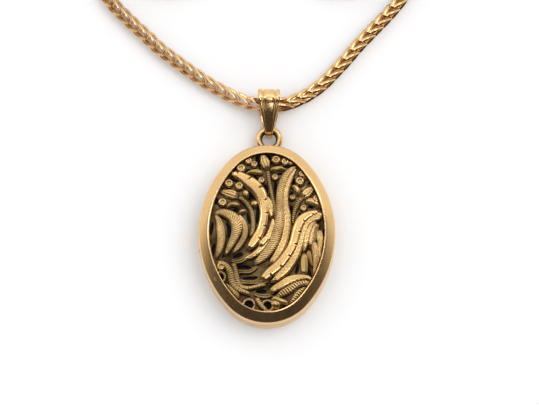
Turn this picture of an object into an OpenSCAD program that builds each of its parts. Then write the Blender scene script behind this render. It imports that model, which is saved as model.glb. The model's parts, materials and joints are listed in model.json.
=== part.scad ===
// Oval locket that opens like a book, on a slim chain.
// The case lies on its flat back with its origin at the middle of that face: +Y is towards the bail,
// +Z is out of the pierced front, and the hinge runs along -X. All lengths are in millimetres.

/* [Case] */
// Half the width of the case
case_half_w = 13.5; // [13:0.1:14]
// Half the height of the case, without the top ring
case_half_h = 18.4; // [18:0.1:19]
// Radius of the two end arcs of the oval
end_r = 10.4; // [10:0.1:10.8]
// Thickness of the side walls
wall_t = 0.8; // [0.7:0.05:0.9]
// Thickness of the back plate
back_t = 0.7; // [0.5:0.05:0.9]
// Height of the seam between the two covers
seam_z = 2.3; // [2.2:0.05:2.4]
// Height where the front wall turns into the bevelled rim
bevel_z = 4.6; // [4.5:0.05:4.7]
// Height of the inner edge of the bevelled rim
rim_top_z = 5.7; // [5.6:0.05:5.8]
// Width of the bevelled rim, from the outline to the opening
rim_w = 2.15; // [2:0.05:2.3]
// How far the inner bezel stands up past the seam
bezel_rise = 0.7; // [0.5:0.05:0.75]
// Gap between the inner bezel and the front wall
snap_gap = 0.06; // [0.05:0.01:0.08]

/* [Openwork] */
// Shift of the whole motif along Y
motif_y = -0.35; // [-0.5:0.05:0]
// Height of the pierced plate's underside
plate_z = 4.3; // [4.28:0.01:4.32]
// Height of the pierced plate's top
plate_top_z = 4.72; // [4.68:0.01:4.74]
// Height of stems, straps and berries
low_relief_z = 5.35; // [5.1:0.05:5.5]
// Height of the large plumes
high_relief_z = 5.85; // [5.6:0.05:6]

/* [Hinge] */
// Distance of the hinge axis from the middle plane
hinge_x = -13.1; // [-13.15:0.05:-13.05]
// Outer radius of the knuckles
knuckle_r = 0.5; // [0.45:0.05:0.5]
// Radius of the hinge pin
hinge_pin_r = 0.25; // [0.2:0.01:0.26]
// Radial clearance of the pin in its knuckles
pin_gap = 0.03; // [0.02:0.01:0.04]
// Length of all three knuckles together
hinge_len = 6.6; // [6:0.1:7]

/* [Ring and bail] */
// Offset of the ring and the bail along X
drop_x = 0.4; // [0:0.1:0.5]
// Height of the ring's middle
ring_z = 1.55; // [1.55:0.01:1.57]
// Radius to the middle of the ring's wire
ring_r = 2.1; // [2.1:0.05:2.2]
// Radius of the ring's wire
ring_wire_r = 0.72; // [0.6:0.01:0.72]
// Y position of the ring's middle
ring_y = 20.5; // [20.4:0.05:20.6]
// Y position of the middle of the bail's eye
bail_y = 28.3; // [28.2:0.1:28.4]
// Height of the middle of the bail's eye
bail_z = 2.67; // [2.65:0.01:2.7]
// Radius of the bail's eye for the chain
bail_eye_r = 2.2; // [2.15:0.05:2.2]
// Radius of the bail's eye for the ring
bail_toe_r = 1.08; // [1.04:0.01:1.09]
// Thickness of the bail's strip
bail_t = 0.45; // [0.4:0.01:0.46]
// Width of the bail at the chain
bail_top_w = 4.5; // [4:0.1:4.6]
// Width of the bail at the ring
bail_toe_w = 1.4; // [1.2:0.1:1.4]

/* [Chain] */
// Diameter of the chain
chain_d = 2.5; // [2.4:0.1:2.5]
// Radius of the outer turn of each coil, to the middle of the chain
coil_outer_r = 16; // [16:0.5:17]
// Number of turns in each coil
coil_turns = 2; // [2:1:2]
// Distance between neighbouring turns
coil_pitch = 2.55; // [2.5:0.05:2.6]

/* [Clasp] */
// Direction of the clasp, in degrees
clasp_turn = -24; // [-30:1:-20]
// Thickness of the clasp
clasp_t = 2.4; // [2.4:0.1:2.5]

/* [Hidden] */
$fn = 64;

gold = [0.86, 0.66, 0.38];
old_gold = [0.62, 0.46, 0.24];
black_ground = [0.05, 0.045, 0.04];
card_white = [0.93, 0.91, 0.86];
clear_window = [0.8, 0.88, 0.9, 0.5];
steel = [0.6, 0.6, 0.62];

// The oval has four arcs: two end arcs of end_r and two side arcs that meet them smoothly.
end_dy = case_half_h - end_r;
side_r = (pow(case_half_w, 2) + pow(end_dy, 2) - pow(end_r, 2)) / (2 * (case_half_w - end_r));
side_dx = side_r - case_half_w;
joint_a = atan2(end_dy, side_dx);
plate_band = 3;
outline_steps = 10;
// Length of the cutters that go right through a piece.
through = 6;

// Sweeps a profile round the oval. Each profile point is [distance inside the outline, height].
module oval_sweep(profile) {
  for (turn = [0, 180]) rotate([0, 0, turn]) {
    translate([0, end_dy, 0]) rotate([0, 0, joint_a])
      rotate_extrude(angle = 180 - 2 * joint_a)
        polygon([for (p = profile) [end_r - p[0], p[1]]]);
    translate([-side_dx, 0, 0]) rotate([0, 0, -joint_a])
      rotate_extrude(angle = 2 * joint_a)
        polygon([for (p = profile) [side_r - p[0], p[1]]]);
  }
}

// Points round the oval at a distance inside its outline.
function arc_points(cx, cy, r, a0, a1) =
  [for (i = [0 : outline_steps - 1]) let (a = a0 + (a1 - a0) * i / outline_steps) [cx + r * cos(a), cy + r * sin(a)]];
function oval_points(inset) = concat(
  arc_points(-side_dx, 0, side_r - inset, -joint_a, joint_a),
  arc_points(0, end_dy, end_r - inset, joint_a, 180 - joint_a),
  arc_points(side_dx, 0, side_r - inset, 180 - joint_a, 180 + joint_a),
  arc_points(0, -end_dy, end_r - inset, 180 + joint_a, 360 - joint_a));

// A flat oval plate with short straight sides, for the pieces that sit inside the case.
module oval_plate(inset, z0, z1) {
  translate([0, 0, z0]) linear_extrude(z1 - z0) polygon(oval_points(inset));
}

// Strokes: a smooth outline round a line of [x, y, half width] points.
stroke_steps = 2;
function mix_point(p0, p1, p2, p3, t) =
  0.5 * (2 * p1 + (p2 - p0) * t + (2 * p0 - 5 * p1 + 4 * p2 - p3) * t * t
    + (3 * p1 - p0 - 3 * p2 + p3) * t * t * t);
function smooth_line(p) = let (n = len(p)) concat(
  [for (i = [0 : n - 2], s = [0 : stroke_steps - 1])
    mix_point(p[max(i - 1, 0)], p[i], p[i + 1], p[min(i + 2, n - 1)], s / stroke_steps)],
  [p[n - 1]]);
function side_of(p, i) =
  let (n = len(p), a = p[max(i - 1, 0)], b = p[min(i + 1, n - 1)],
    d = [b[0] - a[0], b[1] - a[1]]) [-d[1], d[0]] / norm(d);
function stroke_outline(points) = let (p = smooth_line(points), n = len(p)) concat(
  [for (i = [0 : n - 1]) [p[i][0], p[i][1]] + side_of(p, i) * p[i][2]],
  [for (i = [n - 1 : -1 : 0]) [p[i][0], p[i][1]] - side_of(p, i) * p[i][2]]);
module stroke(points, z0, z1) {
  translate([0, 0, z0]) linear_extrude(z1 - z0) polygon(stroke_outline(points));
}

// Large plumes, from tip to root.
plumes = [
  // long smooth plume from the upper left, and the short one that lies along it
  [[-7.2, 12.3, 0.15], [-6.2, 12.15, 0.5], [-5, 11.6, 0.75], [-3.6, 10.6, 0.95], [-2.3, 9.5, 1.0],
   [-1.3, 8, 0.95], [-0.7, 6, 0.75], [-0.55, 4, 0.65], [-0.75, 2.3, 0.65], [-1.2, 0.6, 0.65],
   [-1.95, -0.9, 0.7], [-2.9, -2.3, 0.6], [-3.8, -3.4, 0.25]],
  [[-0.2, 7.8, 0.25], [0.4, 6.4, 0.5], [0.75, 5, 0.5], [0.8, 3.8, 0.4], [0.7, 2.9, 0.15]],
  // hatched middle plume, left and right of its midrib
  [[5.9, 13.8, 0.15], [4.9, 13.2, 0.4], [3.9, 12.1, 0.5], [3.3, 10.8, 0.6], [2.85, 9.2, 0.65],
   [2.65, 7.5, 0.65], [2.6, 5.5, 0.65], [2.6, 3.8, 0.65], [2.4, 2, 0.7], [2, 0.2, 0.75],
   [1.4, -1.6, 0.75], [0.6, -3.2, 0.7], [-0.6, -4.7, 0.65], [-1.8, -5.8, 0.45], [-2.5, -6.4, 0.2]],
  [[5.8, 13.6, 0.1], [5.1, 12.4, 0.35], [4.5, 11, 0.45], [4, 9.3, 0.45], [3.7, 7.5, 0.45],
   [3.75, 5.5, 0.5], [3.95, 3.8, 0.6], [4, 2, 0.6], [3.8, 0.3, 0.65], [3.5, -1.2, 0.65],
   [2.9, -2.8, 0.7], [2.1, -4.3, 0.65], [1.2, -5.6, 0.5], [0.4, -6.5, 0.2]],
  // polished leaf in the middle
  [[0.4, -0.4, 0.2], [0, -1, 0.5], [-0.55, -1.7, 0.6], [-1.1, -2.4, 0.5], [-1.7, -3, 0.2]],
  // smooth hooked plume on the right and the band beside it
  [[10.3, 4.3, 0.3], [9.2, 4.1, 0.45], [7.9, 3.6, 0.6], [6.9, 2.7, 0.75], [6.25, 1.5, 0.75], [5.8, 0, 0.75],
   [5.4, -1.5, 0.7], [4.9, -2.9, 0.7], [4.1, -4.3, 0.7], [3.1, -5.7, 0.75], [2, -6.9, 0.75],
   [0.8, -7.9, 0.75], [-0.3, -8.9, 0.6], [-1, -9.7, 0.25]],
  [[11.1, 3.2, 0.3], [10.4, 3.5, 0.7], [9.2, 3.1, 0.7], [8.1, 2.2, 0.55], [7.5, 0.9, 0.5], [7.1, -0.5, 0.5],
   [6.7, -2, 0.55], [6.1, -3.6, 0.6], [5.5, -4.9, 0.65], [4.7, -6.2, 0.7], [3.8, -7.4, 0.75],
   [2.8, -8.4, 0.65], [1.8, -9.3, 0.5], [0.7, -10, 0.2]],
  // curled plume on the left, its outer feather and the upright one by the rim
  [[-10.4, 4.15, 0.15], [-9.2, 4.1, 0.5], [-7.8, 3.7, 0.9], [-6.5, 2.9, 1.05], [-5.7, 1.7, 1.1],
   [-5.6, 0.3, 0.95], [-6.1, -1, 0.75], [-6.7, -2.2, 0.6], [-7, -3.3, 0.4], [-7.1, -4, 0.2]],
  [[-4.9, 2.9, 0.3], [-4.4, 1.9, 0.5], [-4.3, 0.6, 0.55], [-4.5, -0.7, 0.6], [-4.8, -1.7, 0.4], [-5.1, -2.3, 0.15]],
  [[-10.3, 3.8, 0.15], [-9.6, 3, 0.6], [-9.2, 1.8, 0.8], [-9.1, 0.5, 0.9], [-9.1, -1, 0.85],
   [-9.15, -2.4, 0.75], [-9.3, -3.6, 0.6], [-9.7, -4.9, 0.3]],
  // wing of three bands at the lower right
  [[0.5, -12.2, 0.3], [1.5, -11.3, 0.55], [2.9, -10.5, 0.7], [4.2, -9.7, 0.75], [5.6, -9.2, 0.65],
   [7, -9, 0.5], [8.1, -9.1, 0.35], [8.9, -9.8, 0.3], [9.1, -10.5, 0.15]],
  [[1.9, -12.9, 0.25], [3, -12.2, 0.55], [4.3, -11.5, 0.6], [5.5, -10.7, 0.5], [6.7, -10.2, 0.45],
   [7.8, -10.2, 0.45], [8.5, -10.8, 0.35], [8.4, -11.5, 0.15]],
  [[8.1, -11.1, 0.15], [7.3, -11.5, 0.45], [6.5, -12.2, 0.6], [5.8, -13, 0.6], [5.2, -13.9, 0.5],
   [4.6, -14.9, 0.25]]];

// Buds, leaves, stems, straps and scroll bands, which lie lower.
tendrils = [
  // buds
  [[-1.15, 16.7, 0.1], [-0.75, 15.8, 0.5], [-0.4, 14.8, 0.75], [-0.15, 13.9, 0.6], [0.05, 13.2, 0.25]],
  [[-9.5, 8.75, 0.1], [-8.6, 8.5, 0.4], [-7.5, 8.25, 0.7], [-6.5, 7.95, 0.7], [-5.7, 7.65, 0.35]],
  [[9.3, 9.8, 0.1], [8.7, 9.1, 0.5], [8.1, 8.5, 0.7], [7.5, 7.95, 0.65], [6.9, 7.4, 0.3]],
  // stems
  [[0.15, 13.1, 0.25], [0.35, 11.5, 0.25], [0.6, 10, 0.25], [0.85, 8.6, 0.25], [1.1, 7.2, 0.25],
   [1.5, 5.6, 0.22], [1.7, 4, 0.2], [1.6, 2.8, 0.15]],
  [[-5.5, 7.6, 0.3], [-4.5, 6.7, 0.3], [-3.6, 5.6, 0.3], [-3, 4.4, 0.3], [-2.75, 3, 0.3],
   [-2.7, 1.6, 0.3], [-2.85, 0.4, 0.3], [-3.3, -0.7, 0.25]],
  [[6.9, 7.4, 0.3], [6.2, 6.4, 0.3], [5.75, 5.4, 0.3], [5.4, 4.4, 0.25], [5.2, 3.2, 0.2], [5.05, 2, 0.15]],
  // leaves
  [[-4.3, 12.3, 0.1], [-3.2, 12.75, 0.3], [-1.9, 12.75, 0.4], [-0.8, 12.4, 0.2]],
  [[0.5, 13.1, 0.2], [1.6, 13.4, 0.35], [2.8, 13.5, 0.3], [4, 13.1, 0.1]],
  [[4.7, 9.8, 0.15], [5.6, 9.5, 0.35], [6, 8.7, 0.35], [6, 7.8, 0.15]],
  [[-8, 5.2, 0.15], [-7.2, 5.9, 0.3], [-6.2, 6, 0.35], [-5.3, 5.6, 0.2]],
  [[-4.4, 9.3, 0.15], [-4.2, 8.3, 0.4], [-3.9, 7.2, 0.2]],
  [[-5, 5.2, 0.15], [-4.8, 4.6, 0.5], [-4.5, 3.9, 0.2]],
  [[-2.9, 7, 0.2], [-2.5, 6.2, 0.45], [-2.2, 5.2, 0.2]],
  [[8.3, 9.9, 0.1], [7.4, 9.3, 0.25], [6.9, 8.7, 0.15]],
  [[7.5, 6.7, 0.2], [8.7, 6.6, 0.5], [9.8, 6, 0.35], [10, 5.2, 0.15]],
  // leaves that hang at the right
  [[7.3, -3.9, 0.2], [7.3, -5.2, 0.5], [7.3, -6.6, 0.55], [7.3, -7.9, 0.45], [7.2, -8.6, 0.2]],
  [[9, -1.5, 0.35], [9.4, -3.2, 0.5], [9.6, -5, 0.45], [9.6, -6.8, 0.4], [9.5, -8.3, 0.4], [9.6, -9.5, 0.2]],
  [[10.2, 2.1, 0.3], [9.4, 1.2, 0.6], [9, -0.2, 0.65], [8.8, -1.6, 0.55], [8.5, -3, 0.25]],
  [[10.3, 0.9, 0.3], [10.4, -0.8, 0.5], [10.6, -2.4, 0.5], [10.6, -4, 0.5], [10.6, -5.4, 0.35], [10.9, -6.3, 0.15]],
  [[8.2, -3.3, 0.25], [8.3, -4.6, 0.35], [8.6, -5.8, 0.25], [8.9, -6.9, 0.15]],
  // scroll and straps at the lower left
  [[-9.8, -5.9, 0.2], [-8.6, -6.2, 0.35], [-7.6, -7.1, 0.45], [-7.1, -8.3, 0.5], [-6.9, -9.4, 0.5],
   [-6.4, -10.6, 0.5], [-5.5, -11.5, 0.45], [-4.3, -12, 0.35], [-3.2, -12.4, 0.25]],
  [[-8.4, -10.3, 0.25], [-7.7, -11, 0.45], [-6.8, -11.9, 0.5], [-6, -12.6, 0.5], [-5.3, -13, 0.25]],
  [[-7, -5.5, 0.2], [-5.8, -5.8, 0.3], [-4.6, -5.4, 0.3], [-3.9, -4.6, 0.3], [-3.4, -3.9, 0.2]],
  [[-6.5, -7.9, 0.35], [-5, -7.8, 0.3], [-3.5, -7.8, 0.3], [-2.6, -7.3, 0.3], [-1.9, -6.7, 0.2]],
  [[-5.9, -9.7, 0.4], [-4, -10, 0.3], [-2, -10, 0.3], [-0.4, -9.9, 0.3], [0.3, -9.6, 0.15]],
  [[-6.6, -6, 0.35], [-6.2, -7.5, 0.35], [-5.9, -9, 0.4], [-5.4, -10.6, 0.35], [-4, -11.2, 0.35],
   [-2.6, -11, 0.3], [-1, -10.6, 0.3], [-0.2, -10.4, 0.2]],
  [[-2.6, -12.2, 0.2], [-1.4, -12.7, 0.3], [0, -12.8, 0.3], [0.9, -12.4, 0.25]],
  [[-2, -13, 0.3], [-1.6, -14, 0.35], [-0.8, -15, 0.3], [0.1, -15.8, 0.2]],
  [[1.2, -13.4, 0.3], [1.7, -14.3, 0.6], [1.7, -15.4, 0.35]],
  [[0.9, -12.9, 0.3], [2, -13.5, 0.4], [3.2, -13.9, 0.35], [4.2, -14.3, 0.2]]];

// Berries as [x, y, radius].
berries = [
  [-5.15, 13.5, 0.8], [-3.7, 15.1, 0.65], [-2.55, 14.35, 0.62], [1.8, 15.3, 0.8], [3.6, 14.9, 0.7],
  [4.7, 14.6, 0.45], [-7.55, 10.35, 0.8], [-5.5, 9.8, 0.75], [6.9, 12.3, 0.6], [7.7, 11.7, 0.5],
  [6.5, 10.8, 0.8], [-8.8, 6.4, 0.8], [9.8, 7.2, 0.7], [-1.1, 11, 0.6], [1.6, 11.6, 0.6],
  [5.05, 7.4, 0.55], [7.2, 5.2, 0.6], [-9, -6.8, 0.75]];

// Scroll eyes as [x, y, outer radius, inner radius].
scroll_eyes = [[-3.5, -14.5, 1.35, 0.85], [0.1, -14.7, 1.3, 0.8], [-9.15, -8.9, 1.25, 0.75]];

// Openings where the black ground shows, as strokes.
openings = [
  [[-1.95, 16.3, 0.3], [-1.85, 15.2, 0.5], [-1.5, 13.9, 0.25], [-1.2, 13.3, 0.15]],
  [[-0.1, 16.4, 0.2], [0.4, 16, 0.4], [0.75, 15.3, 0.35], [0.9, 14.4, 0.25]],
  [[-6.8, 13.1, 0.25], [-6.3, 13.8, 0.3], [-5.9, 14.2, 0.15]],
  [[-4.6, 12.8, 0.15], [-3.9, 13.2, 0.3], [-3.1, 13.45, 0.2]],
  [[-2.6, 12.1, 0.1], [-2.2, 11.7, 0.3], [-1.8, 11.2, 0.3], [-1.7, 10.8, 0.1]],
  [[-0.7, 10.4, 0.15], [-0.3, 9.8, 0.4], [0, 9, 0.3], [0.15, 8.5, 0.15]],
  [[1.7, 10.8, 0.3], [1.65, 9.5, 0.4], [1.7, 8.5, 0.3], [1.75, 7.8, 0.15]],
  [[2, 12.4, 0.15], [2.6, 12.5, 0.3], [3.1, 12.7, 0.2]],
  [[3.2, 14, 0.1], [4, 13.9, 0.2], [4.8, 13.9, 0.1]],
  [[5.3, 11.7, 0.15], [5.3, 10.9, 0.3], [5.15, 10.2, 0.2]],
  [[8, 10.4, 0.15], [8.6, 10.5, 0.3], [9, 10.8, 0.15]],
  [[4.9, 8.9, 0.25], [4.85, 8.2, 0.4], [4.6, 7.6, 0.15]],
  [[9.6, 8.4, 0.2], [10.1, 8.3, 0.3], [10.4, 8, 0.2]],
  [[4.75, 6, 0.15], [4.85, 5, 0.35], [4.85, 4, 0.2]],
  [[7.9, 5.4, 0.15], [8.6, 5.6, 0.3], [9.2, 5.3, 0.15]],
  [[10.5, 5.4, 0.25], [10.9, 5, 0.4], [11.2, 4.5, 0.2]],
  [[6.5, 4.5, 0.15], [6.45, 3.95, 0.3], [6.2, 3.4, 0.15]],
  [[-7.3, 11.6, 0.2], [-6.5, 11.1, 0.2], [-5.9, 10.8, 0.15]],
  [[-9.1, 9.5, 0.2], [-8.5, 9.5, 0.2]],
  [[-10.1, 7.6, 0.2], [-9.95, 6.9, 0.4], [-10.2, 6.1, 0.25]],
  [[-3.4, 8.6, 0.2], [-3.1, 7.9, 0.5], [-3.6, 6.9, 0.25]],
  [[-1.8, 6.2, 0.15], [-1.75, 4.9, 0.4], [-1.8, 3.4, 0.45], [-2, 2.1, 0.25]],
  [[-3.9, 4.4, 0.15], [-3.7, 3.3, 0.4], [-3.4, 2.1, 0.25]],
  [[-6.8, 4.9, 0.15], [-6.1, 4.9, 0.35], [-5.7, 4.5, 0.2]],
  [[-8.1, 2.4, 0.15], [-7.6, 1.5, 0.4], [-7.4, 0.6, 0.5], [-7.5, -0.3, 0.35], [-7.8, -0.9, 0.15]],
  [[-8, -2.3, 0.2], [-7.9, -3, 0.35], [-8.2, -3.9, 0.4], [-8.8, -4.8, 0.2]],
  [[-10.7, 2.6, 0.15], [-10.8, 1.5, 0.4], [-11, 0.4, 0.3], [-11, -0.3, 0.15]],
  [[-10.3, -1.9, 0.15], [-10.5, -2.8, 0.4], [-10.55, -3.8, 0.3], [-10.5, -4.6, 0.15]],
  [[-6.7, -4.9, 0.2], [-6, -4.5, 0.5], [-5.3, -4.2, 0.5], [-4.7, -4, 0.3]],
  [[-5.6, -6.9, 0.15], [-4.7, -6.8, 0.4], [-3.6, -6.9, 0.35], [-3, -6.9, 0.15]],
  [[-4.8, -9.1, 0.2], [-3.8, -9, 0.35], [-2.6, -9, 0.35], [-1.8, -8.8, 0.2]],
  [[-2.2, -11.8, 0.2], [-1.4, -11.7, 0.45], [-0.5, -11.7, 0.45], [0, -11.8, 0.2]],
  [[3.5, -14.5, 0.15], [3.2, -15, 0.3], [2.8, -15.4, 0.25]],
  [[6.1, -6.2, 0.15], [6, -6.9, 0.35], [5.8, -7.7, 0.35], [5.5, -8.1, 0.15]],
  [[8.2, -7, 0.15], [8.2, -7.7, 0.35], [8.5, -8.5, 0.3], [8.8, -9.2, 0.15]],
  [[10.3, -6.5, 0.2], [10.4, -7.1, 0.4], [10.4, -7.9, 0.3], [10.3, -8.4, 0.1]],
  [[11.2, 1.2, 0.15], [11.3, 0.4, 0.35], [11.4, -0.6, 0.3], [11.4, -1.3, 0.15]],
  [[11.3, -3.5, 0.15], [11.3, -4.3, 0.25], [11.2, -5, 0.15]],
  [[8.4, -12, 0.1], [7.4, -13, 0.2], [6.2, -14, 0.2], [5.5, -14.6, 0.1]],
  [[-3.2, -3.9, 0.1], [-2.6, -4, 0.25], [-1.9, -3.9, 0.15]]];

// Front cover.
lip_top = 0.1;
rim_bevel = [
  [0, seam_z], [0, bevel_z - 0.25], [0.07, bevel_z], [0.25, bevel_z + 0.2], [0.9, bevel_z + 0.6],
  [1.5, rim_top_z - 0.17], [rim_w - 0.3, rim_top_z - 0.02], [rim_w - lip_top, rim_top_z], [rim_w, rim_top_z - lip_top]];
plate_seat_z = plate_top_z + 0.03;
// A notch along the left-hand wall, above or below the seam, that the hinge is let into.
groove_half = 4.4;
notch_reach = 0.75;
bezel_groove_r = 0.62;
module hinge_notch(z0) {
  translate([hinge_x - 1, -groove_half, z0]) cube([1 + notch_reach, 2 * groove_half, notch_reach]);
}
nick_r = 3;
nick_depth = 0.25;
nick_h = 0.35;
bead_r = 0.14;
bead_half_a = 4;
bead_inset = wall_t + snap_gap + 0.07;
bead_z = seam_z + 0.35;

// A thin arc of wire on the right-hand side wall: the snap bead, or the groove that takes it.
module bead_arc(r) {
  translate([-side_dx, 0, 0]) rotate([0, 0, -bead_half_a])
    rotate_extrude(angle = 2 * bead_half_a)
      translate([side_r - bead_inset, bead_z]) circle(r = r, $fn = 24);
}

module front_rim() {
  color(gold) difference() {
    oval_sweep(concat(rim_bevel, [[rim_w, plate_seat_z], [wall_t, plate_seat_z], [wall_t, seam_z]]));
    hinge_notch(seam_z);
    bead_arc(bead_r + 0.06);
    translate([case_half_w + nick_r - nick_depth, 0, seam_z]) cylinder(h = nick_h, r = nick_r);
    front_hinge_web();
  }
}

opening_inset = rim_w + 0.03;
plate_inset = 1.0;
module openwork_panel() {
  color(old_gold) {
    difference() {
      oval_plate(plate_inset, plate_z, plate_top_z);
      translate([0, motif_y, 0]) {
        for (hole = openings) stroke(hole, plate_z - 1, plate_top_z + 1);
        for (eye = scroll_eyes)
          translate([eye[0], eye[1], plate_z]) cylinder(h = through, r = eye[3], center = true);
      }
    }
    intersection() {
      oval_plate(opening_inset, plate_z, high_relief_z + 1);
      translate([0, motif_y, 0]) {
        for (plume = plumes) stroke(plume, plate_z + 0.2, high_relief_z);
        for (tendril = tendrils) stroke(tendril, plate_z + 0.2, low_relief_z);
        for (berry = berries)
          translate([berry[0], berry[1], plate_z + 0.2]) cylinder(h = low_relief_z + 0.1 - plate_z, r = berry[2]);
        for (eye = scroll_eyes)
          translate([eye[0], eye[1], plate_z + 0.2]) difference() {
            cylinder(h = low_relief_z - 0.15 - plate_z, r = eye[2]);
            cylinder(h = through, r = eye[3] + 0.05, center = true);
          }
      }
    }
  }
}

liner_z = [3.97, 4.27];
liner_inset = 0.95;
module liner_plate() {
  color(black_ground) oval_plate(liner_inset, liner_z[0], liner_z[1]);
}

// Photo frames: a rebated ring, with a window and a card behind its lip.
frame_inset = 0.85;
frame_back_inset = 1.45;
rebate_inset = 2.0;
frame_lip_inset = 2.6;
pane_inset = 2.05;
pane_gap = 0.02;
lip_t = 0.25;
pane_t = 0.22;
card_t = 0.22;
frame_front_z = [3.2, 3.94];
frame_back_z = [back_t + pane_gap, 1.5];
module photo_frame_front() {
  z = frame_front_z;
  color(gold) oval_sweep([
    [frame_inset, z[0]], [frame_lip_inset, z[0]], [frame_lip_inset, z[0] + lip_t], [rebate_inset, z[0] + lip_t],
    [rebate_inset, z[1]], [frame_inset, z[1]]]);
}
window_front_z = frame_front_z[0] + lip_t + pane_gap / 2;
card_front_z = window_front_z + pane_t + pane_gap;
module photo_window_front() { color(clear_window) oval_plate(pane_inset, window_front_z, window_front_z + pane_t); }
module photo_card_front() { color(card_white) oval_plate(pane_inset, card_front_z, card_front_z + card_t); }
module photo_frame_back() {
  z = frame_back_z;
  color(gold) oval_sweep([
    [frame_back_inset, z[0]], [rebate_inset, z[0]], [rebate_inset, z[1] - lip_t], [frame_lip_inset, z[1] - lip_t],
    [frame_lip_inset, z[1]], [frame_back_inset, z[1]]]);
}
window_back_z = frame_back_z[1] - lip_t - pane_gap - pane_t;
card_back_z = window_back_z - pane_gap - card_t;
module photo_window_back() { color(clear_window) oval_plate(pane_inset, window_back_z, window_back_z + pane_t); }
module photo_card_back() { color(card_white) oval_plate(pane_inset, card_back_z, card_back_z + card_t); }

// Back cover.
module back_cover() {
  color(gold) difference() {
    union() {
      oval_sweep([
        [0.4, 0], [0.12, 0.12], [0, 0.4], [0, seam_z], [wall_t, seam_z], [wall_t, back_t],
        [wall_t + plate_band, back_t], [wall_t + plate_band, 0]]);
      linear_extrude(back_t) polygon(oval_points(wall_t + plate_band / 2));
    }
    hinge_notch(seam_z - notch_reach);
    translate([case_half_w + nick_r - nick_depth, 0, seam_z - nick_h]) cylinder(h = nick_h + 1, r = nick_r);
    back_hinge_webs();
    ring_shape();
  }
}
module inner_bezel() {
  bezel_in = 1.4;
  color(gold) difference() {
    oval_sweep([
      [wall_t + 0.01, back_t + 0.01], [wall_t + 0.01, seam_z - 0.1], [wall_t + snap_gap, seam_z],
      [wall_t + snap_gap, seam_z + bezel_rise - 0.1], [wall_t + snap_gap + 0.1, seam_z + bezel_rise],
      [bezel_in, seam_z + bezel_rise], [bezel_in, back_t + 0.01]]);
    translate([hinge_x, groove_half, seam_z]) rotate([90, 0, 0]) cylinder(h = 2 * groove_half, r = bezel_groove_r);
    bead_arc(bead_r);
  }
}
module catch_bead() { color(gold) bead_arc(bead_r); }

// Hinge: three knuckles on one pin, each knuckle soldered to its cover by a short web.
knuckle_gap = 0.06;
front_half = 1.07;
back_from = front_half + knuckle_gap;
back_len = hinge_len / 2 - back_from;
web_x = [-0.2, 0.35];
web_reach = 0.9;
module hinge_web(y0, y1, up) {
  translate([hinge_x + web_x[0], y0, up > 0 ? seam_z + 0.2 : seam_z - web_reach])
    cube([web_x[1] - web_x[0], y1 - y0, web_reach - 0.2]);
}
module front_hinge_web() { hinge_web(-front_half, front_half, 1); }
module back_hinge_webs() {
  hinge_web(back_from, back_from + back_len, -1);
  hinge_web(-back_from - back_len, -back_from, -1);
}
module hinge_bore() {
  translate([hinge_x, hinge_len, seam_z]) rotate([90, 0, 0]) cylinder(h = 2 * hinge_len, r = hinge_pin_r + pin_gap);
}
module knuckle(y0, y1) {
  translate([hinge_x, y1, seam_z]) rotate([90, 0, 0]) cylinder(h = y1 - y0, r = knuckle_r);
}
module hinge_knuckle_front() {
  color(gold) difference() {
    union() {
      knuckle(-front_half, front_half);
      front_hinge_web();
    }
    hinge_bore();
  }
}
module hinge_knuckles_back() {
  color(gold) difference() {
    union() {
      knuckle(back_from, back_from + back_len);
      knuckle(-back_from - back_len, -back_from);
      back_hinge_webs();
    }
    hinge_bore();
  }
}
module hinge_pin() {
  color(steel) translate([hinge_x, hinge_len / 2, seam_z]) rotate([90, 0, 0]) cylinder(h = hinge_len, r = hinge_pin_r);
}

// Top ring, let into the back wall where it is soldered.
module ring_shape() {
  translate([drop_x, ring_y, ring_z]) rotate_extrude() translate([ring_r, 0]) circle(r = ring_wire_r, $fn = 32);
}
module top_ring() { color(gold) ring_shape(); }

// Bail: a teardrop loop seen from the side, cut to a taper seen from the front.
toe_y = ring_y + ring_r;
toe_z = ring_z;
bail_run = norm([bail_y - toe_y, bail_z - toe_z]);
bail_lean = atan2(bail_z - toe_z, bail_y - toe_y);
// Outline round two circles of radius ra at 0 and rb at bail_run, with straight sides between.
function loop_outline(ra, rb) =
  let (side_a = acos((ra - rb) / bail_run), steps = 12) concat(
    [for (i = [0 : steps]) let (a = side_a + (360 - 2 * side_a) * i / steps) [ra * cos(a), ra * sin(a)]],
    [for (i = [0 : steps]) let (a = -side_a + 2 * side_a * i / steps) [bail_run + rb * cos(a), rb * sin(a)]]);
slot_pinch = 0.88;
bail_overrun = 1.2;
module bail_loop() {
  difference() {
    linear_extrude(bail_top_w, center = true) polygon(loop_outline(bail_eye_r + bail_t, bail_toe_r + bail_t));
    cylinder(h = 2 * bail_top_w, r = bail_eye_r, center = true);
    translate([bail_run, 0, 0]) cylinder(h = 2 * bail_top_w, r = bail_toe_r, center = true);
    linear_extrude(2 * bail_top_w, center = true) polygon([
      [0, bail_eye_r * slot_pinch], [bail_run, bail_toe_r * slot_pinch],
      [bail_run, -bail_toe_r * slot_pinch], [0, -bail_eye_r * slot_pinch]]);
  }
}
module bail() {
  top = bail_y + bail_eye_r + bail_t;
  toe = toe_y - bail_toe_r - bail_t;
  color(gold) intersection() {
    translate([drop_x, bail_y, bail_z]) rotate([0, -90, 0]) rotate([0, 0, -90 - bail_lean]) bail_loop();
    translate([drop_x, 0, -bail_overrun]) linear_extrude(2 * through) polygon([
      [-bail_top_w / 2, top + bail_overrun], [-bail_top_w / 2, bail_y], [-bail_toe_w / 2, toe],
      [-bail_toe_w / 2, toe - bail_overrun], [bail_toe_w / 2, toe - bail_overrun], [bail_toe_w / 2, toe],
      [bail_top_w / 2, bail_y], [bail_top_w / 2, top + bail_overrun]]);
  }
}

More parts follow.
